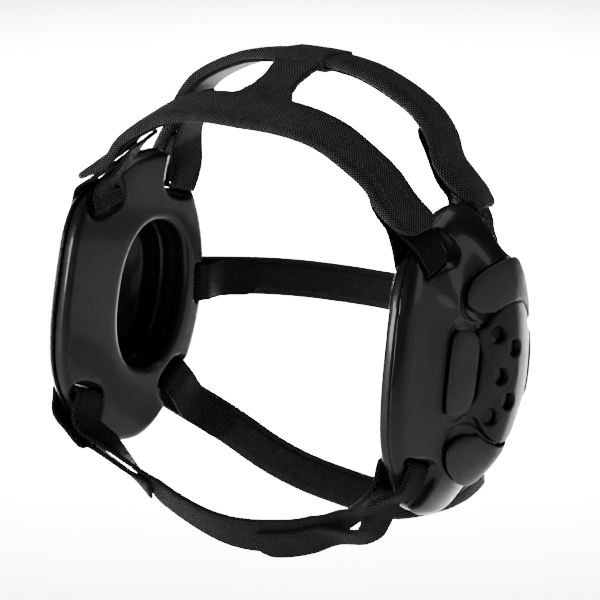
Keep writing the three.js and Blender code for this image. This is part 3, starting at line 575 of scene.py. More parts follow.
def closed_rings(rings):
    """Rings of places joined into a closed solid, with a pole at each end."""
    rings = np.array(rings, float)
    rings = np.concatenate([rings, rings[:, :1]], 1)
    poles = [np.broadcast_to(ring[:-1].mean(0), ring.shape) for ring in (rings[0], rings[-1])]
    return bend_sheet(np.concatenate([[poles[0]], rings, [poles[1]]]))


def mirror_image(bm):
    """A copy of a mesh for the other side of the head."""
    copy = bm.copy()
    bmesh.ops.scale(copy, vec=(-1, 1, 1), verts=copy.verts)
    bmesh.ops.reverse_faces(copy, faces=copy.faces)
    return copy


def place_in_cup(bm):
    """Moves a mesh made in the cup's frame to its place on the wearer's left."""
    bmesh.ops.transform(bm, matrix=CUP_PLACE, verts=bm.verts)
    return bm


# Cutters for the slots and the hollows that lead into them
RING_POINTS = 40
HOLLOW_HALF_LENGTH = 14.5
HOLLOW_BEYOND = 12.0
HOLLOW_BLUNTNESS = 0.72
INNER_REACH = 5.0
INNER_HALF_LENGTH = 12.5
THROUGH = (-60, 80)  # depths clear of the cup on both sides
LevelRow = namedtuple("LevelRow", "height smaller")
OUTER_LEVELS = table(
    LevelRow,
    (0, 2.6), (0.8, 1.2), (2.6, 0.3), (6, 0), (30, -1),
)
INNER_DEPTH = 2.3  # of the scoop round a slot in the pad's face
INNER_LEVELS = table(
    LevelRow,
    (-8, -3), (0, 0), (1.2, 0.6), (INNER_DEPTH, 2.4),
)


def turns(count):
    return (np.arange(count) + 0.5) / count * 2 * math.pi


def hollow_ring(slot, smaller, reach, half_length):
    angle = turns(RING_POINTS)
    blunt = [blunted(f, HOLLOW_BLUNTNESS) for f in (np.cos(angle), np.sin(angle))]
    half_reach = (reach + HOLLOW_BEYOND) / 2 - smaller
    out = (HOLLOW_BEYOND - reach) / 2 + half_reach * blunt[0]
    across = (half_length - smaller) * blunt[1]
    return slot.rim + out[:, None] * slot.along + across[:, None] * slot.across


def outer_hollow(name):
    slot = Slot(name)
    rings = []
    for level in OUTER_LEVELS:
        ring = hollow_ring(slot, level.smaller, slot.reach, HOLLOW_HALF_LENGTH)
        out = (ring - slot.middle) @ slot.along
        rings.append(on_cup(ring, slot.floor(out) + level.height))
    return closed_rings(rings)


def inner_hollow(name):
    slot = Slot(name)
    reach = slot.inset + INNER_REACH
    return closed_rings(
        [
            on_cup(hollow_ring(slot, level.smaller, reach, INNER_HALF_LENGTH), level.height)
            for level in INNER_LEVELS
        ]
    )


def slot_cutter(name):
    slot = Slot(name)
    angle = turns(RING_POINTS)
    is_chin = name == "chin"
    width = SLOT_WIDTH if is_chin else CLOSE_SLOT_WIDTH
    straight = (SLOT_LENGTH if is_chin else CLOSE_SLOT_LENGTH) / 2 - width / 2
    across = np.sign(np.sin(angle)) * straight + width / 2 * np.sin(angle)
    out = (SLOT_WIDTH - width) / 2 + width / 2 * np.cos(angle)
    ring = slot.middle + out[:, None] * slot.along + across[:, None] * slot.across
    return closed_rings([on_cup(ring, depth) for depth in THROUGH])


# Pads round the dome: their lines, and how far a place is from their edges
PAD_STEPS = 60
PAD_END_STEPS = 11
END_ROLL = 0.8  # a pad's end is round over this share of its half width
END_MARGIN = 0.6


def pad_line(name):
    rows = PADS[name]
    half_sizes = (PLATE_WIDTH / 2, PLATE_HEIGHT / 2)
    stations = [
        Station((r.forward * half_sizes[0], r.up * half_sizes[1], 0), (0, 0, 1), r.half) for r in rows
    ]
    route = Route(stations)
    end = np.linspace(0, math.pi / 2, PAD_END_STEPS + 1)[:-1]
    roll = (1 - np.cos(end)) * END_ROLL
    start, stop = rows[0].half * roll, route.length - rows[-1].half * roll[::-1]
    inner = np.linspace(start[-1] + END_MARGIN, stop[0] - END_MARGIN, PAD_STEPS)
    distances = np.concatenate([start, inner, stop])
    frames = [route.frame(d) for d in distances]
    line = np.array([f.at[:2] for f in frames]) + CENTRE
    side = np.array([f.normal[:2] for f in frames])
    round_off = np.concatenate([np.sin(end), np.ones(PAD_STEPS), np.sin(end)[::-1]])
    half = np.array([f.half for f in frames]) * round_off
    return line, side, half


def pad_distance(places):
    """How far places on the cup lie outside the nearest pad's edge."""
    nearest = np.full(places.shape[:-1], 1e3)
    for name in PADS:
        line, _, half = pad_line(name)
        for point, width in zip(line, half):
            nearest = np.minimum(nearest, np.linalg.norm(places - point, axis=-1) - width)
    return nearest


# Shell: dome outside, cavity with its flange inside
DOME_COLUMNS = 180
LIP_HEIGHT = 0.4  # of the bead round the pads' seats
LIP_DISTANCE = 1.4  # its middle lies this far outside a pad's edge
LIP_WIDTH = 0.75
OUTSIDE_REACH = 1.2  # how near the outer surface a vertex counts as part of it
RIM_BULGE = 1.3  # the shell stands this far proud of the pad's rim
BULGE_SPREAD = (0.75, 0.97)
OUTER_SHARES = [*np.linspace(0, 0.88, 40), *np.linspace(0.88, 1, 16)[1:]]
CavityRow = namedtuple("CavityRow", "wider depth")
CAVITY_WALL = table(
    CavityRow,
    (CAVITY_UNDERCUT, 0), (CAVITY_UNDERCUT, 2.2), (0.9, 5), (0.2, 9), (-1.1, 9.5), (-1.3, 10),
    (-0.4, 10.4),
)
INNER_SHARES = (0.8, 0.6, 0.4, 0.2, 0)
MIDDLE_EXTRA = 1.0  # the wall is this much thicker in the middle of the dome
EDGE_EXTRA = 4.0  # and this much more at the cavity's edge


def shell_body():
    bearing = np.linspace(0, 2 * math.pi, DOME_COLUMNS + 1)
    rim = around(bearing, rim_reach(bearing))
    away = rim / np.linalg.norm(rim, axis=1, keepdims=True)
    rows = []
    for share in OUTER_SHARES:
        places = CENTRE + (rim - CENTRE) * share
        bulge = RIM_BULGE * smoothstep(share, *BULGE_SPREAD)
        rows.append(on_cup(places + away * bulge, surface_depth(places)))
    rows.append(on_cup(rim + away * 0.2, SEAM_DEPTH))
    for wider, depth in CAVITY_WALL:
        rows.append(on_cup(ear_oval(bearing, wider), SEAM_DEPTH + depth))
    mouth = ear_oval(bearing, CAVITY_UNDERCUT)
    for share in INNER_SHARES:
        places = CENTRE + (mouth - CENTRE) * share
        wall = SHELL_WALL + MIDDLE_EXTRA + EDGE_EXTRA * share**2
        rows.append(on_cup(places, surface_depth(places) - wall))
    return bend_sheet(np.array(rows))


def raise_lips(bm):
    """Raises a fine bead on the outer surface round the seats of the pads."""
    points = np.array([vert.co for vert in bm.verts]) / MM
    places = np.stack([-points[:, 1], points[:, 2]], -1)
    outside = np.abs(points[:, 0] - surface_depth(places)) < OUTSIDE_REACH
    lift = LIP_HEIGHT * bell(pad_distance(places), LIP_DISTANCE, LIP_WIDTH) * outside
    normal = surface_normal(places)
    moves = np.stack([normal[:, 2], -normal[:, 0], normal[:, 1]], -1) * lift[:, None] * MM
    for vert, move in zip(bm.verts, moves):
        vert.co += Vector(move)


# Ear pad: a foam ring with a rolled edge and a face that falls away towards the cheek
CHEEK_FALL = 0.8
CHEEK_SPREAD = (6.0, 40.0)  # forward of the cup's middle, where the fall begins and is full
FACE_DEPTHS = (1.5, 5.0)  # the face ends and the flank begins between these
LEVEL_STEPS = 5
SEAT_STEPS = 8
PadLevel = namedtuple("PadLevel", "ring inset depth")
PAD_LEVELS = table(
    PadLevel,
    ("rim", 0.4, FOAM_THICKNESS),
    ("rim", 0.3, 4.2),
    ("rim", 0.5, 1.7),
    ("rim", 1.3, 0.5),
    ("rim", 3, 0),
    ("rim", 9, -0.2),
    ("ear", 6.5, -0.2),
    ("ear", 2.5, 0),
    ("ear", 0.8, 0.7),
    ("ear", 0, 2.2),
    ("ear", 0, FOAM_THICKNESS - 1.2),
    ("ear", 0.5, FOAM_THICKNESS - 0.4),
    ("ear", 2.5, FOAM_THICKNESS),
)


def pad_body():
    bearing = np.linspace(0, 2 * math.pi, DOME_COLUMNS + 1)
    rim = around(bearing, rim_reach(bearing))
    length = np.linalg.norm(rim, axis=1, keepdims=True)
    rings = []
    for level in PAD_LEVELS:
        if level.ring == "rim":
            places = rim * (1 - level.inset / length)
        else:
            places = ear_oval(bearing, level.inset)
        facing = 1 - smoothstep(level.depth, *FACE_DEPTHS)
        fall = CHEEK_FALL * smoothstep(places[:, 0], *CHEEK_SPREAD) * facing
        rings.append(on_cup(places, level.depth + fall))
    count = len(rings)
    rows = []
    for i in range(count):
        a, b, c, d = (rings[(i + k) % count] for k in (-1, 0, 1, 2))
        steps = LEVEL_STEPS if i < count - 1 else SEAT_STEPS
        rows += [smooth_rows(a, b, c, d, k / steps) for k in range(steps)]
    rows.append(rows[0])
    return bend_sheet(np.array(rows))


def smooth_rows(before, start, end, after, share):
    """Rings between two rings, on a smooth line through four."""
    span = np.linalg.norm(end - start, axis=1, keepdims=True)

    def slope(way):
        length = np.maximum(np.linalg.norm(way, axis=1, keepdims=True), 1e-6)
        return way * np.minimum(0.5, span / length)

    return cubic(start, end, slope(end - before), slope(after - start), share)


# Vent plate and gel pads
LobeRow = namedtuple("LobeRow", "bearing reach spread")
PLATE_LOBES = table(
    LobeRow,
    (39.5, 4.5, 9.0),
    (-41, 6.0, 8.0),
    (141, 3.0, 6.0),
    (-137, 3.0, 6.0),
)
PLATE_COLUMNS = 144
SEAM_FILL = 0.7  # soft edges reach this much further, so that the seams stay fine
PLATE_UNDERSIDE = 0.35
PLATE_CROWN = 0.6
GEL_CROWN = 0.35
GEL_BLUNTNESS = (0.5, 0.6)  # of a pad's section across and up
GEL_THINNING = 0.35
VENT_REACH = (0.0, 3.5)  # a vent's well reaches between these heights over the shell
VENT_RADIUS = 4.5
VENT_FLOOR_RADIUS = 2.9


def plate_body():
    bearing = np.linspace(0, 2 * math.pi, PLATE_COLUMNS + 1)
    reach = oval_reach(bearing, PLATE_WIDTH, PLATE_HEIGHT, PLATE_SQUARENESS) + SEAM_FILL
    for lobe in PLATE_LOBES:
        away = np.degrees(np.angle(np.exp(1j * (bearing - math.radians(lobe.bearing)))))
        reach = reach + lobe.reach * bell(away, 0, lobe.spread)
    top = np.linspace(0.94, 0, 20)
    profile = [
        (0, PLATE_UNDERSIDE),
        (0.5, PLATE_UNDERSIDE),
        (0.97, PLATE_UNDERSIDE),
        (1, PAD_LIFT + 0.2),
        (0.99, PLATE_THICKNESS * 0.7),
        (0.965, PLATE_THICKNESS),
        *zip(top, PLATE_THICKNESS + PLATE_CROWN * (1 - top**2)),
    ]
    rows = [above_shell(around(bearing, reach * share), height) for share, height in profile]
    return bend_sheet(np.array(rows))


def vent_cutter(vent):
    """A well that narrows towards the shell."""
    place = CENTRE + np.array(vent)
    low, high = (Vector(above_shell(place, height)) * MM for height in VENT_REACH)
    turn = (high - low).to_track_quat("Z", "Y").to_matrix().to_4x4()
    bm = bmesh.new()
    bmesh.ops.create_cone(
        bm,
        cap_ends=True,
        segments=RING_POINTS,
        radius1=VENT_FLOOR_RADIUS * MM,
        radius2=VENT_RADIUS * MM,
        depth=(high - low).length,
        matrix=Matrix.Translation((low + high) / 2) @ turn,
    )
    return bm


def gel_body(name):
    line, side, half = pad_line(name)
    angle = np.linspace(0, 2 * math.pi, RING_POINTS + 1)
    blunt = [blunted(f, power) for f, power in zip((np.cos(angle), np.sin(angle)), GEL_BLUNTNESS)]
    rows = []
    for place, across, width in zip(line, side, half):
        fullness = min(1, (width / half.max()) ** GEL_THINNING) if width > 0 else 0
        wide = width + SEAM_FILL * (width > 0)
        places = place + across * (wide * blunt[0])[:, None]
        top = PAD_LIFT + (GEL_THICKNESS - PAD_LIFT) * fullness * (0.5 + 0.5 * blunt[1])
        crown = GEL_CROWN * np.maximum(blunt[1], 0) * fullness * (1 - blunt[0] ** 2)
        rows.append(above_shell(places, top + crown))
    for i in (0, -1):
        rows[i] = np.broadcast_to(rows[i].mean(0), rows[i].shape)
    return bend_sheet(np.array(rows))


# Straps
SectionRow = namedtuple("SectionRow", "flat edge height")
END_STEPS = np.array([0, 0.08, 0.3, 0.7, 1.3, 2.2, 3.4, 4.8, 6.4, 8.0])  # closer to an end
END_REACH = 9.5
TAPER_LENGTH = 16.0  # over which a padded strap thins to its end


def strap_section(columns, turns_per_edge=6):
    """The section of a strap: places on its flats and round its edges, all the way round."""
    flat = np.linspace(-1, 1, columns)
    turn = np.linspace(math.pi / 2, -math.pi / 2, turns_per_edge + 2)[1:-1]
    rows = [SectionRow(f, 0, 1) for f in flat]
    rows += [SectionRow(1, math.cos(t), math.sin(t)) for t in turn]
    rows += [SectionRow(f, 0, -1) for f in flat[::-1]]
    rows += [SectionRow(-1, -math.cos(t), math.sin(t)) for t in turn[::-1]]
    return rows + rows[:1]


def rounded_half(half, from_end):
    short = min(max(END_RADIUS - from_end, 0), 0.999 * END_RADIUS)
    return half - END_RADIUS + math.sqrt(END_RADIUS**2 - short**2)


def weave_row(distance, across, lift, columns):
    """The weave map of one section: along and round the strap, from the middle of its face."""
    girth = np.concatenate([[0], np.cumsum(np.hypot(np.diff(across), np.diff(lift)))])
    return np.stack([np.full_like(girth, distance), girth - girth[columns - 1] / 2], -1)


def strap_skin(
    route,
    thickness,
    half=None,
    start=0.0,
    stop=None,
    rounded=(True, True),
    height=0.0,
    step=1.6,
    edge=0.7,
    relief=None,
    columns=24,
    margin=0.0,
    taper=0.0,
):
    """A strap of woven tape along a route, with rolled ends, and its weave map in millimetres."""
    stop = route.length if stop is None else stop
    section = strap_section(columns)
    flat = np.array([row.flat for row in section])
    turned = np.array([row.edge for row in section])
    level = np.array([row.height for row in section])
    first, last = start + END_REACH, stop - END_REACH
    middle = np.linspace(first, last, max(2, round((last - first) / step)))
    distances = np.concatenate([start + END_STEPS, middle, stop - END_STEPS[::-1]])
    rows, weave = [], []
    for distance in distances:
        at, side, normal, own = route.frame(distance)
        full = (half or own) + margin
        ends = [
            rounded_half(full, from_end) if is_round else full
            for from_end, is_round in ((distance - start, rounded[0]), (stop - distance, rounded[1]))
        ]
        wide = float(min(ends))
        near = min(distance - start, stop - distance)
        roll = math.sqrt(max(0.0, 1 - (1 - min(near / (thickness / 2), 1)) ** 2))
        roll *= 1 - taper * (1 - float(smoothstep(near, 0, TAPER_LENGTH)))
        across = flat * max(wide - edge, 0.05) + turned * min(edge, wide)
        lift = level * thickness / 2 * roll
        if relief:
            lift = lift + relief(across, full, level) * roll
        offset = np.outer(across, side) + np.outer(height + lift, normal)
        rows.append(np.array(at) + offset)
        weave.append(weave_row(distance, across, lift, columns))
    return bend_sheet(np.array(rows), np.array(weave))


BORDER = 2.9  # the stitched border of a padded strap is this wide
BORDER_GROOVE = 0.45
SELVEDGE = 1.7  # the grooves of woven webbing lie this far from its edges
SELVEDGE_GROOVE = 0.4
SELVEDGE_DEPTH = 0.28


def padded_relief(crown, groove):
    """Relief of a padded strap: a crowned middle between two stitched borders."""

    def relief(across, full, level):
        inside = np.clip(1 - (across / (full - BORDER)) ** 2, 0, 1) ** 0.5
        line = bell(np.abs(across), full - BORDER, BORDER_GROOVE)
        return np.where(level > 0.9, crown * inside - groove * line, 0)

    return relief


def webbing_relief(across, full, level):
    """Woven-in edges: a fine groove along both edges of each face."""
    line = bell(np.abs(across), full - SELVEDGE, SELVEDGE_GROOVE)
    return np.where(np.abs(level) > 0.9, -SELVEDGE_DEPTH * line * np.sign(level), 0)


def main_route(name, thickness):
    half = [s._replace(at=Vector(s.at), side=Vector(s.side)) for s in HALF_ROUTES[name]]
    slot = Slot(name)
    last_side = half[-1].side
    flat = match(slot.wide, last_side)
    turning = flat * 2 + last_side

    def over(out):
        return slot.above(out, WEB_GAP + SEAM_GAP + 0.55 + WEB_THICKNESS + thickness / 2)

    past, near = slot.past + 2, slot.inset - 1
    right = [
        *half,
        Station(slot.at(past, over(past) + 0.6), turning),
        Station(slot.at(near, over(near)), flat),
    ]
    mirrored = [s._replace(at=flip(s.at), side=flip(s.side)) for s in right[:0:-1]]
    lifted = [s._replace(at=s.at + Vector((0, 0, s.lift))) for s in right]
    return Route(mirrored + lifted)


def round_bar(slot, side, thickness, half=0.0):
    """Stations of webbing that goes round a bar, through the slot and back inside."""
    clear = SEAM_GAP + thickness / 2
    edge = SLOT_WIDTH / 2
    corner = 0.8 * (clear + 0.1)
    rows = [
        (edge + 2.4, slot.above(edge + 2.4, clear + 0.25)),
        (edge + 0.2, slot.above(edge, clear + 0.2)),
        (edge - corner, slot.floor(edge) + corner),
        (edge - clear - 0.25, slot.floor(edge) - 1.6),
        (0, slot.floor(0) / 2),
        (edge - clear - 0.25, 1.6),
        (edge - corner, -corner),
        (edge + 0.2, -clear - 0.05),
        (edge + 2.4, -clear - 0.25),
        (slot.inset, -clear - 0.7),
    ]
    return [Station(slot.at(out, depth), side, half) for out, depth in rows]


def tail_route(name, route, thickness, inner, side):
    """The webbing tail of a strap: under the cover, round the bar and back up inside."""
    slot = Slot(name, side)
    under = thickness / 2 + WEB_GAP + WEB_THICKNESS / 2
    twice = under + WEB_THICKNESS + SEAM_GAP + 0.3
    towards = route.inward()

    def on(distance, height):
        place = route.frame(route.length - distance if side > 0 else distance)
        return Station(place.at + place.normal * height * towards, place.side)

    across = match(slot.wide, on(10, 0).side)
    return Route(
        [
            on(OUTER_ARM, under),
            on(OUTER_ARM - 10, under),
            on(OUTER_ARM - 19, under),
            on(5, under),
            on(1, under),
            *round_bar(slot, across, WEB_THICKNESS),
            on(slot.inset + 13, twice + 1.6),
            on(slot.inset + 20, twice + 0.1),
            on(inner - 10, twice),
            on(inner, twice),
        ]
    )


def chin_route():
    """The chin strap: through both slots from the inside, and back onto its own outer face."""
    first_side = Vector(CHIN_LINE[0].side)
    ends = {}
    for side in (1, -1):
        slot = Slot("chin", side)
        across = match(slot.wide, first_side)
        rim = slot.inset + 0.5
        over = slot.above(rim, SEAM_GAP + CHIN_THICKNESS / 2 + 0.25)
        ends[side] = [
            Station(slot.at(slot.inset + 6.5, LEG_DEPTH), across, TAIL_WIDTH / 2),
            Station(slot.at(rim, over), across, TAIL_WIDTH / 2),
            *round_bar(slot, across, CHIN_THICKNESS, TAIL_WIDTH / 2),
        ]
    base = Route([ends[-1][-1], *CHIN_LINE, ends[1][-1]])
    outer = 1 if base.frame(base.length / 2).normal.dot(Vector((0, -1, -1))) > 0 else -1
    touching = CHIN_THICKNESS + SEAM_GAP

    def on(distance, height, half, drop=0.0):
        place = base.frame(distance)
        return Station(place.at + place.normal * height * outer - place.side * drop, place.side, half)

    def back(distance, height):
        return on(base.length - distance, height, TAB_HALF, TAB_DROP)

    leg = CHIN_LEG[0]
    return Route(
        [
            on(CHIN_TAIL, touching + 0.1, 9),
            on(CHIN_TAIL - 14, touching + 1, 9),
            Station(flip(leg.at), match(flip(leg.side), first_side), leg.half),
            *ends[-1],
            *CHIN_LINE,
            *ends[1][::-1],
            *CHIN_LEG,
            back(TAB_START, touching + 0.5),
            back(TAB_START + 13, touching + 0.1),
            back(TAB_START + 26, touching + 0.1),
            back(CHIN_TAB, touching + 0.1),
        ]
    )


SLEEVE_COLUMNS = 16
SLEEVE_STEPS = 24
SLEEVE_EDGE = 0.6  # share of its half thickness that the sleeve's edge is round over


def sleeve_body(rear):
    """The bridge's end, a cloth tube folded round the rear crown strap."""
    half = CROWN_WIDTH / 2 + SEAM_GAP + SLEEVE_WALL / 2
    thickness = CROWN_THICKNESS + SEAM_GAP + LINING_THICKNESS + 2 * SEAM_GAP + SLEEVE_WALL
    shift = rear.inward() * (SEAM_GAP + LINING_THICKNESS) / 2
    section = strap_section(SLEEVE_COLUMNS, 8)
    edge = thickness / 2 * SLEEVE_EDGE
    across = np.array([row.flat * (half - edge) + row.edge * edge for row in section])
    lift = np.array([row.height * thickness / 2 for row in section])
    rows, weave = [], []
    for distance in np.linspace(-SLEEVE_WIDTH / 2, SLEEVE_WIDTH / 2, SLEEVE_STEPS):
        at, side, normal, _ = rear.frame(rear.length / 2 + distance)
        rows.append(np.array(at) + np.outer(across, side) + np.outer(lift + shift, normal))
        weave.append(weave_row(distance, across, lift, SLEEVE_COLUMNS))
    bm = bend_sheet(np.array(rows), np.array(weave))
    bmesh.ops.solidify(bm, geom=bm.faces[:], thickness=SLEEVE_WALL * MM)
    return bm


# Rows of stitches, each a small rounded thread
STITCH_PITCH = 2.6
STITCH_OFFSETS = (-5.2, 0.0, 5.2)
STITCH_SPAN = (52, 26)  # from the strap's end
STITCH_HALF_LENGTH = 0.9
THREAD_RADIUS = 0.34


def stitch_rows(route, height):
    size = Matrix.Diagonal((STITCH_HALF_LENGTH, THREAD_RADIUS, THREAD_RADIUS, 1 / MM)) * MM
    start, stop = (route.length - reach for reach in STITCH_SPAN)
    bm = bmesh.new()
    for offset in STITCH_OFFSETS:
        for distance in np.arange(start, stop, STITCH_PITCH):
            at, side, normal, _ = route.frame(distance)
            along = side.cross(normal)
            turn = Matrix((along, side, normal)).transposed().to_4x4()
            place = Matrix.Translation((at + side * offset + normal * height) * MM)
            bmesh.ops.create_uvsphere(
                bm, u_segments=6, v_segments=5, radius=1, matrix=place @ turn @ size
            )
    return bm


# Materials
def socket(shader, name, value):
    shader.inputs[name].default_value = value


class Finish:
    """A material, with short ways to add the nodes of its pattern."""

    def __init__(self, name, colour, roughness, **sockets):
        self.material = bpy.data.materials.new(name)
        self.material.use_nodes = True
        self.tree = self.material.node_tree
        self.shader = self.tree.nodes["Principled BSDF"]
        socket(self.shader, "Base Color", (*colour, 1))
        socket(self.shader, "Roughness", roughness)
        for key, value in sockets.items():
            socket(self.shader, key.replace("_", " "), value)
        self.material.diffuse_color = (*colour, 1)

    def node(self, kind, **values):
        made = self.tree.nodes.new(kind)
        for key, value in values.items():
            setattr(made, key, value)
        return made

    def link(self, source, target):
        self.tree.links.new(source, target)

    def maths(self, operation, a, b=None, c=None):
        made = self.node("ShaderNodeMath", operation=operation)
        for place, value in enumerate((a, b, c)):
            if isinstance(value, (int, float)):
                made.inputs[place].default_value = value
            elif value is not None:
                self.link(value, made.inputs[place])
        return made.outputs[0]

    def coordinates(self, scale=1.0):
        """Object coordinates in millimetres times a scale."""
        place = self.node("ShaderNodeTexCoord")
        mapping = self.node("ShaderNodeMapping")
        mapping.inputs["Scale"].default_value = (scale / MM,) * 3
        self.link(place.outputs["Object"], mapping.inputs["Vector"])
        return mapping.outputs[0]

    def noise(self, size, detail=3.0):
        """Soft noise with grains of a size in millimetres."""
        made = self.node("ShaderNodeTexNoise")
        made.inputs["Detail"].default_value = detail
        made.inputs["Scale"].default_value = 1.0
        self.link(self.coordinates(1 / size), made.inputs["Vector"])
        return made.outputs["Fac"]

    def cells(self, size):
        """Pebbles of a size in millimetres: distance from the middle of each."""
        made = self.node("ShaderNodeTexVoronoi", feature="SMOOTH_F1")
        made.inputs["Scale"].default_value = 1.0
        made.inputs["Smoothness"].default_value = 0.6
        self.link(self.coordinates(1 / size), made.inputs["Vector"])
        return made.outputs["Distance"]

    def weave_map(self):
        """Millimetres along and across the strap."""
        place = self.node("ShaderNodeUVMap", uv_map="weave")
        split = self.node("ShaderNodeSeparateXYZ")
        self.link(place.outputs[0], split.inputs[0])
        return split.outputs[0], split.outputs[1]

    def wave(self, length, pitch):
        return self.maths("SINE", self.maths("MULTIPLY", length, 2 * math.pi / pitch))

    def bump(self, height, depth):
        made = self.node("ShaderNodeBump")
        made.inputs["Strength"].default_value = 1.0
        made.inputs["Distance"].default_value = depth * MM
        self.link(height, made.inputs["Height"])
        self.link(made.outputs[0], self.shader.inputs["Normal"])

    def ramp(self, factor, target, stops):
        """Colours or greys along a factor."""
        made = self.node("ShaderNodeValToRGB")
        ramp = made.color_ramp
        while len(ramp.elements) < len(stops):
            ramp.elements.new(0.5)
        for element, (place, value) in zip(ramp.elements, stops):
            element.position = place
            element.color = (*value, 1) if isinstance(value, tuple) else (value, value, value, 1)
        self.link(factor, made.inputs[0])
        self.link(made.outputs[0], self.shader.inputs[target])


def moulded_vinyl(name, colour, roughness, grain, depth):
    """Skinned foam: a fine pebbled grain with soft, broken gloss."""
    gloss = {"Coat_Weight": 0.27, "Coat_Roughness": 0.07, "Specular_IOR_Level": 0.27}
    finish = Finish(name, colour, roughness, **gloss)
    pebbles = finish.cells(grain)
    smudges = finish.noise(14, 4)
    height = finish.maths("MULTIPLY_ADD", finish.noise(grain * 0.4), 0.35, pebbles)
    finish.bump(height, depth)
    tone = tuple(c * 1.7 for c in colour)
    finish.ramp(smudges, "Base Color", [(0.3, colour), (0.75, tone)])
    finish.ramp(smudges, "Roughness", [(0.25, roughness - 0.06), (0.8, roughness + 0.1)])
    return finish.material


def gel_rubber():
    """Matte cast rubber of the gel pads."""
    colour, tone = (0.021, 0.0215, 0.024), (0.032, 0.033, 0.037)
    finish = Finish("gel rubber", colour, 0.55, Sheen_Weight=0.08, Sheen_Roughness=0.4)
    finish.bump(finish.noise(0.35, 4), 0.03)
    finish.ramp(finish.noise(9, 3), "Base Color", [(0.3, colour), (0.75, tone)])
    finish.ramp(finish.noise(5, 4), "Roughness", [(0.3, 0.48), (0.75, 0.62)])
    return finish.material


def plate_plastic():
    """Spark-textured plastic of the vent plate."""
    colour, tone = (0.0075, 0.0075, 0.008), (0.016, 0.016, 0.017)
    finish = Finish("vent plate plastic", colour, 0.45, Specular_IOR_Level=0.4)
    height = finish.maths("MULTIPLY_ADD", finish.noise(0.22, 2), 0.6, finish.cells(0.55))
    finish.bump(height, 0.07)
    finish.ramp(finish.noise(0.5, 3), "Base Color", [(0.35, colour), (0.7, tone)])
    finish.ramp(finish.noise(0.8, 4), "Roughness", [(0.3, 0.36), (0.7, 0.54)])
    return finish.material


WOVEN_ROUGHNESS = 0.82


def woven(name, dark, light, pitch, depth):
    """Woven cloth: over and under threads on the strap's own map, with stray fibres. Its colour holds
    a painted highlight, lighter where the threads and fibres stand highest, with random patches of
    tone.
    """
    sheen = {"Sheen_Weight": 0.02, "Sheen_Roughness": 0.4, "Specular_IOR_Level": 0.12}
    finish = Finish(name, dark, WOVEN_ROUGHNESS, **sheen)
    along, across = finish.weave_map()
    over = finish.maths("MULTIPLY", finish.wave(along, pitch), finish.wave(across, pitch))
    ribs = finish.wave(finish.maths("ADD", along, across), pitch / 2)
    threads = finish.maths("MULTIPLY_ADD", ribs, 0.25, over)
    threads = finish.maths("MULTIPLY_ADD", threads, 0.4, 0.5)
    fibres = finish.noise(0.5, 4)
    height = finish.maths("MULTIPLY_ADD", fibres, 0.35, threads)
    finish.bump(height, depth)
    patch = finish.maths("MULTIPLY_ADD", finish.noise(7, 3), 0.2, -0.1)
    # Painted highlight: the colour runs from dark to light with the same threads and fibres as the
    # bump, so the crests are coloured as if lit; the patches are random tone.
    tone = finish.maths("ADD", finish.maths("MULTIPLY_ADD", fibres, 0.3, threads), patch)
    crest_highlight_middle = tuple(0.22 * c for c in light)
    finish.ramp(tone, "Base Color", [(0.55, dark), (0.8, crest_highlight_middle), (1.0, light)])
    rough = [(0.3, WOVEN_ROUGHNESS - 0.12), (0.7, WOVEN_ROUGHNESS + 0.08)]
    finish.ramp(fibres, "Roughness", rough)
    return finish.material


def smooth_tape():
    """Close-knit lining tape with a faint rib along it."""
    colour, tone = (0.011, 0.011, 0.012), (0.021, 0.021, 0.023)
    finish = Finish("lining tape", colour, 0.7, Sheen_Weight=0.05, Specular_IOR_Level=0.12)
    along, across = finish.weave_map()
    rib = finish.wave(across, 0.55)
    cross = finish.wave(along, 0.7)
    height = finish.maths("MULTIPLY_ADD", rib, 0.5, finish.maths("MULTIPLY", cross, 0.25))
    finish.bump(height, 0.05)
    finish.ramp(finish.noise(3, 4), "Base Color", [(0.3, colour), (0.75, tone)])
    finish.ramp(finish.noise(1.2, 3), "Roughness", [(0.3, 0.66), (0.7, 0.8)])
    return finish.material


def sewing_thread():
    """Twisted black thread of the stitches."""
    colour, tone = (0.03, 0.03, 0.032), (0.16, 0.16, 0.165)
    finish = Finish("sewing thread", colour, 0.6, Sheen_Weight=0.3, Sheen_Roughness=0.4)
    twist = finish.noise(0.25, 2)
    finish.bump(twist, 0.05)
    finish.ramp(twist, "Base Color", [(0.35, colour), (0.7, tone)])
    return finish.material


SHELL = moulded_vinyl("moulded shell skin", (0.0062, 0.0063, 0.0066), 0.3, 0.8, 0.045)
FOAM = moulded_vinyl("ear pad skin", (0.008, 0.0081, 0.0086), 0.34, 0.7, 0.05)
PLATE = plate_plastic()
GEL = gel_rubber()
# The second colour of each cloth is the painted highlight on the crests of its threads.
COVER = woven("crown strap cloth", (0.002, 0.002, 0.0022), (0.2, 0.2, 0.207), 1.45, 0.34)
NAPE = woven("nape strap cloth", (0.003, 0.003, 0.0032), (0.12, 0.12, 0.124), 1.3, 0.26)
WEBBING = woven("strap webbing", (0.0006, 0.0006, 0.0007), (0.05, 0.05, 0.052), 1.6, 0.36)
LINING = smooth_tape()
THREAD = sewing_thread()


# The cups
SHELL_VOXEL = 0.7
PAD_VOXEL = 0.76
PLATE_VOXEL = 0.45


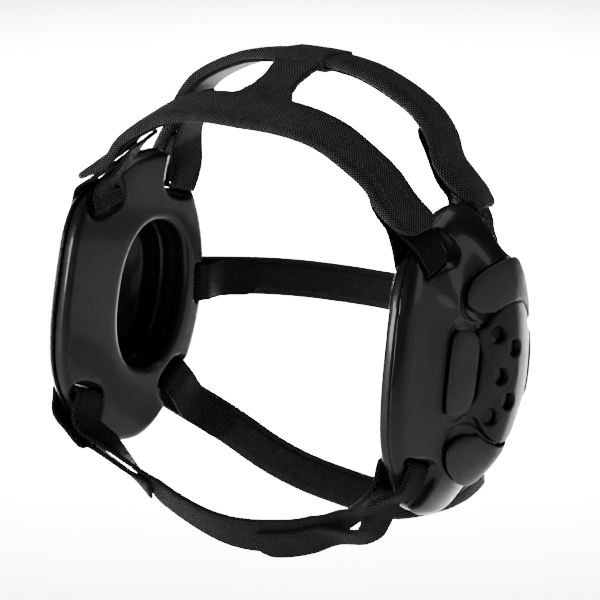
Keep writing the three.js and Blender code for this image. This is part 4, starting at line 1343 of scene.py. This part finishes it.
def build_cups():
    names = list(SLOTS)
    slots = [slot_cutter(name) for name in names]
    hollows = [outer_hollow(name) for name in names]
    chin = chin_clearances()
    shell = carve(shell_body(), [b.copy() for b in slots + hollows + chin], SHELL_VOXEL, rounds=4)
    raise_lips(shell)
    inner = [inner_hollow(name) for name in ("crown_front", "crown_rear", "chin", "nape_lower")]
    foam = carve(pad_body(), slots + hollows + chin + inner, PAD_VOXEL, rounds=4)
    plate = carve(plate_body(), [vent_cutter(vent) for vent in VENTS], PLATE_VOXEL, rounds=2)
    parts = [
        ("cup_shell", shell, SHELL, "cup_shell", None),
        ("ear_pad", foam, FOAM, "ear_pad", 0.9),
        ("vent_plate", plate, PLATE, "vent_plate", None),
        *[(name, gel_body(name), GEL, "gel_pad", 0.9) for name in PADS],
    ]
    for part, bm, material, slot, fill in parts:
        place_in_cup(bm)
        other = mirror_image(bm)
        for label, mesh in (("left", bm), ("right", other)):
            piece = to_object(f"{label}_{part}_skin", mesh)
            finish_piece(piece, material, [f"{label}_{part}"])


def chin_clearances():
    """The chin strap's room where it crosses the rims, in the cup's frame."""
    cutters = []
    for side in (1, -1):
        bm = strap_skin(
            CHIN_ROUTE, CHIN_THICKNESS + 2 * SEAM_GAP, rounded=(False, True), margin=SEAM_GAP
        )
        bmesh.ops.scale(bm, vec=(side, 1, 1), verts=bm.verts)
        bmesh.ops.transform(bm, matrix=CUP_PLACE.inverted(), verts=bm.verts)
        bmesh.ops.recalc_face_normals(bm, faces=bm.faces)
        cutters.append(bm)
    return cutters


# Padded straps. inner and short are for the wearer's right and left: how far each tail reaches
# inside, and by how much the cover is shorter than its line.
StrapSize = namedtuple("StrapSize", "half thickness crown groove material inner short")
CROWN = StrapSize(CROWN_WIDTH / 2, CROWN_THICKNESS, 0.5, 0.55, COVER, None, None)
NAPE_STRAP = StrapSize(NAPE_WIDTH / 2, NAPE_THICKNESS, 0.3, 0.4, NAPE, None, None)
STRAPS = {
    "crown_front": CROWN._replace(inner=(54, 40), short=(8, 11)),
    "crown_rear": CROWN._replace(inner=(56, 56), short=(3, 7)),
    "nape_upper": NAPE_STRAP._replace(inner=(40, 40), short=(1, 1)),
    "nape_lower": NAPE_STRAP._replace(inner=(48, 48), short=(6, 19)),
}
CHIN_ROUTE = chin_route()


def build_straps():
    routes = {name: main_route(name, size.thickness) for name, size in STRAPS.items()}
    for name, size in STRAPS.items():
        route = routes[name]
        away = -route.inward()
        relief = padded_relief(size.crown * away, size.groove * away)
        cover = strap_skin(
            route,
            size.thickness,
            size.half,
            start=size.short[0],
            stop=route.length - size.short[1],
            edge=size.thickness * 0.45,
            relief=relief,
            columns=34,
            taper=0.35,
        )
        piece = to_object(f"{name}_cover", cover)
        finish_piece(piece, size.material, [f"{name}_strap"])
        lining = strap_skin(
            route,
            LINING_THICKNESS,
            size.half - LINING_MARGIN,
            start=LINING_START,
            stop=route.length - LINING_START,
            rounded=(False, False),
            height=route.inward() * (size.thickness / 2 + SEAM_GAP + LINING_THICKNESS / 2),
            edge=0.4,
        )
        finish_piece(to_object(f"{name}_tape", lining), LINING, [f"{name}_lining"])
        for label, side in (("left", 1), ("right", -1)):
            line = tail_route(name, route, size.thickness, size.inner[side > 0], side)
            tail = strap_skin(
                line,
                WEB_THICKNESS,
                TAIL_WIDTH / 2,
                rounded=(False, True),
                step=1.3,
                relief=webbing_relief,
                columns=40,
            )
            piece = to_object(f"{name}_webbing_{label}", tail)
            finish_piece(piece, WEBBING, [f"{name}_tail_{label}"])
    front = routes["crown_front"]
    height = (STRAPS["crown_front"].thickness / 2 + 0.2) * -front.inward()
    stitches = to_object("crown_front_stitches", stitch_rows(front, height))
    finish_piece(stitches, THREAD, ["crown_front_strap"])
    chin = strap_skin(
        CHIN_ROUTE,
        CHIN_THICKNESS,
        rounded=(False, True),
        step=1.7,
        relief=webbing_relief,
        columns=38,
    )
    finish_piece(to_object("chin_strap_webbing", chin), WEBBING, ["chin_strap"])
    bridge = strap_skin(
        Route(BRIDGE), BRIDGE_THICKNESS, rounded=(False, False), step=1.0, edge=1.2, columns=40
    )
    finish_piece(to_object("crown_bridge", bridge), COVER, ["crown_front_strap"])
    sleeve = sleeve_body(routes["crown_rear"])
    finish_piece(to_object("crown_sleeve", sleeve), COVER, ["crown_front_strap"])


build_straps()
build_cups()


# Camera, lights and floor
CAMERA_AZIMUTH = math.radians(35)
CAMERA_ELEVATION = math.radians(17)
CAMERA_DISTANCE = 1.65
SENSOR_WIDTH = 36.0
PHOTO_SIZE = 600
FOCAL_PIXELS = 3630
ORIGIN_PIXEL = (297, 327)


def add_camera():
    a, e = CAMERA_AZIMUTH, CAMERA_ELEVATION
    back = Vector((math.sin(a) * math.cos(e), -math.cos(a) * math.cos(e), math.sin(e)))
    data = bpy.data.cameras.new("camera")
    data.sensor_width = SENSOR_WIDTH
    data.lens = FOCAL_PIXELS * SENSOR_WIDTH / PHOTO_SIZE
    data.shift_x = (PHOTO_SIZE / 2 - ORIGIN_PIXEL[0]) / PHOTO_SIZE
    data.shift_y = (ORIGIN_PIXEL[1] - PHOTO_SIZE / 2) / PHOTO_SIZE
    camera = bpy.data.objects.new("camera", data)
    camera.location = back * CAMERA_DISTANCE
    camera.rotation_euler = back.to_track_quat("Z", "Y").to_euler()
    bpy.context.scene.collection.objects.link(camera)
    bpy.context.scene.camera = camera


LightRow = namedtuple("LightRow", "name place aim size power")
LIGHTS = [
    LightRow("overhead", (-0.3, 0.5, 1.6), (-0.1, 0.15, 0), (1.6, 1.2), 9),
    LightRow("edge light", (-0.56, -1.46, 0.24), (0.08, -0.06, 0), (0.5, 0.26), 13),
    LightRow("right strip", (1.3, 0.5, 0.5), (0, 0, 0), (0.3, 1.2), 2),
    LightRow("rear strip", (-1.2, 0.8, 0.2), (0, 0, 0), (0.5, 1.2), 2),
    LightRow("camera fill", (1.0, -1.4, 0.62), (-0.1, 0, 0), (0.6, 0.6), 0.4),
]
BACKDROP_LIGHT = (-0.64, 0.92, 1.4)
BACKDROP_POWER = 3900
WORLD_STRENGTH = 0.05
PALE_STRENGTH = 1.1  # of the plain pale surround that shows past the floor


def link_light(name, data, place, aim):
    light = bpy.data.objects.new(name, data)
    light.location = place
    light.rotation_euler = (Vector(place) - Vector(aim)).to_track_quat("Z", "Y").to_euler()
    bpy.context.scene.collection.objects.link(light)


def add_lights():
    """The lamps, with a pool of light on the floor behind for the white ground."""
    for row in LIGHTS:
        data = bpy.data.lights.new(row.name, "AREA")
        data.shape = "RECTANGLE"
        data.size, data.size_y = row.size
        data.energy = row.power
        link_light(row.name, data, row.place, row.aim)
    pool = bpy.data.lights.new("backdrop", "SPOT")
    pool.energy = BACKDROP_POWER
    pool.spot_size = math.radians(66)
    pool.spot_blend = 1.0
    pool.shadow_soft_size = 0.1
    link_light("backdrop", pool, BACKDROP_LIGHT, (*BACKDROP_LIGHT[:2], 0))


def add_world():
    """A pale surround for the camera that lights the part only a little."""
    world = bpy.data.worlds.new("studio")
    world.use_nodes = True
    background = world.node_tree.nodes["Background"]
    background.inputs["Color"].default_value = (1, 1, 1, 1)
    nodes, links = world.node_tree.nodes, world.node_tree.links
    path = nodes.new("ShaderNodeLightPath")
    strength = nodes.new("ShaderNodeMath")
    strength.operation = "MULTIPLY_ADD"
    strength.inputs[1].default_value = PALE_STRENGTH
    strength.inputs[2].default_value = WORLD_STRENGTH
    links.new(path.outputs["Is Camera Ray"], strength.inputs[0])
    links.new(strength.outputs[0], background.inputs["Strength"])
    bpy.context.scene.world = world


FLOOR_DROP = 0.14  # the floor lies this far under the lowest strap
FLOOR_SIZE = 12.0
FLOOR_GLOW = 0.5


def add_floor():
    bm = bmesh.new()
    bmesh.ops.create_grid(bm, x_segments=1, y_segments=1, size=FLOOR_SIZE / 2)
    bmesh.ops.translate(bm, vec=(0, 0, cad_box[0].z - FLOOR_DROP), verts=bm.verts)
    floor = to_object("floor", bm)
    paint = Finish("floor paint", (0.9, 0.9, 0.9), 0.7, Emission_Strength=FLOOR_GLOW)
    socket(paint.shader, "Emission Color", (1, 1, 1, 1))
    floor.data.materials.append(paint.material)


add_camera()
add_lights()
add_world()
add_floor()
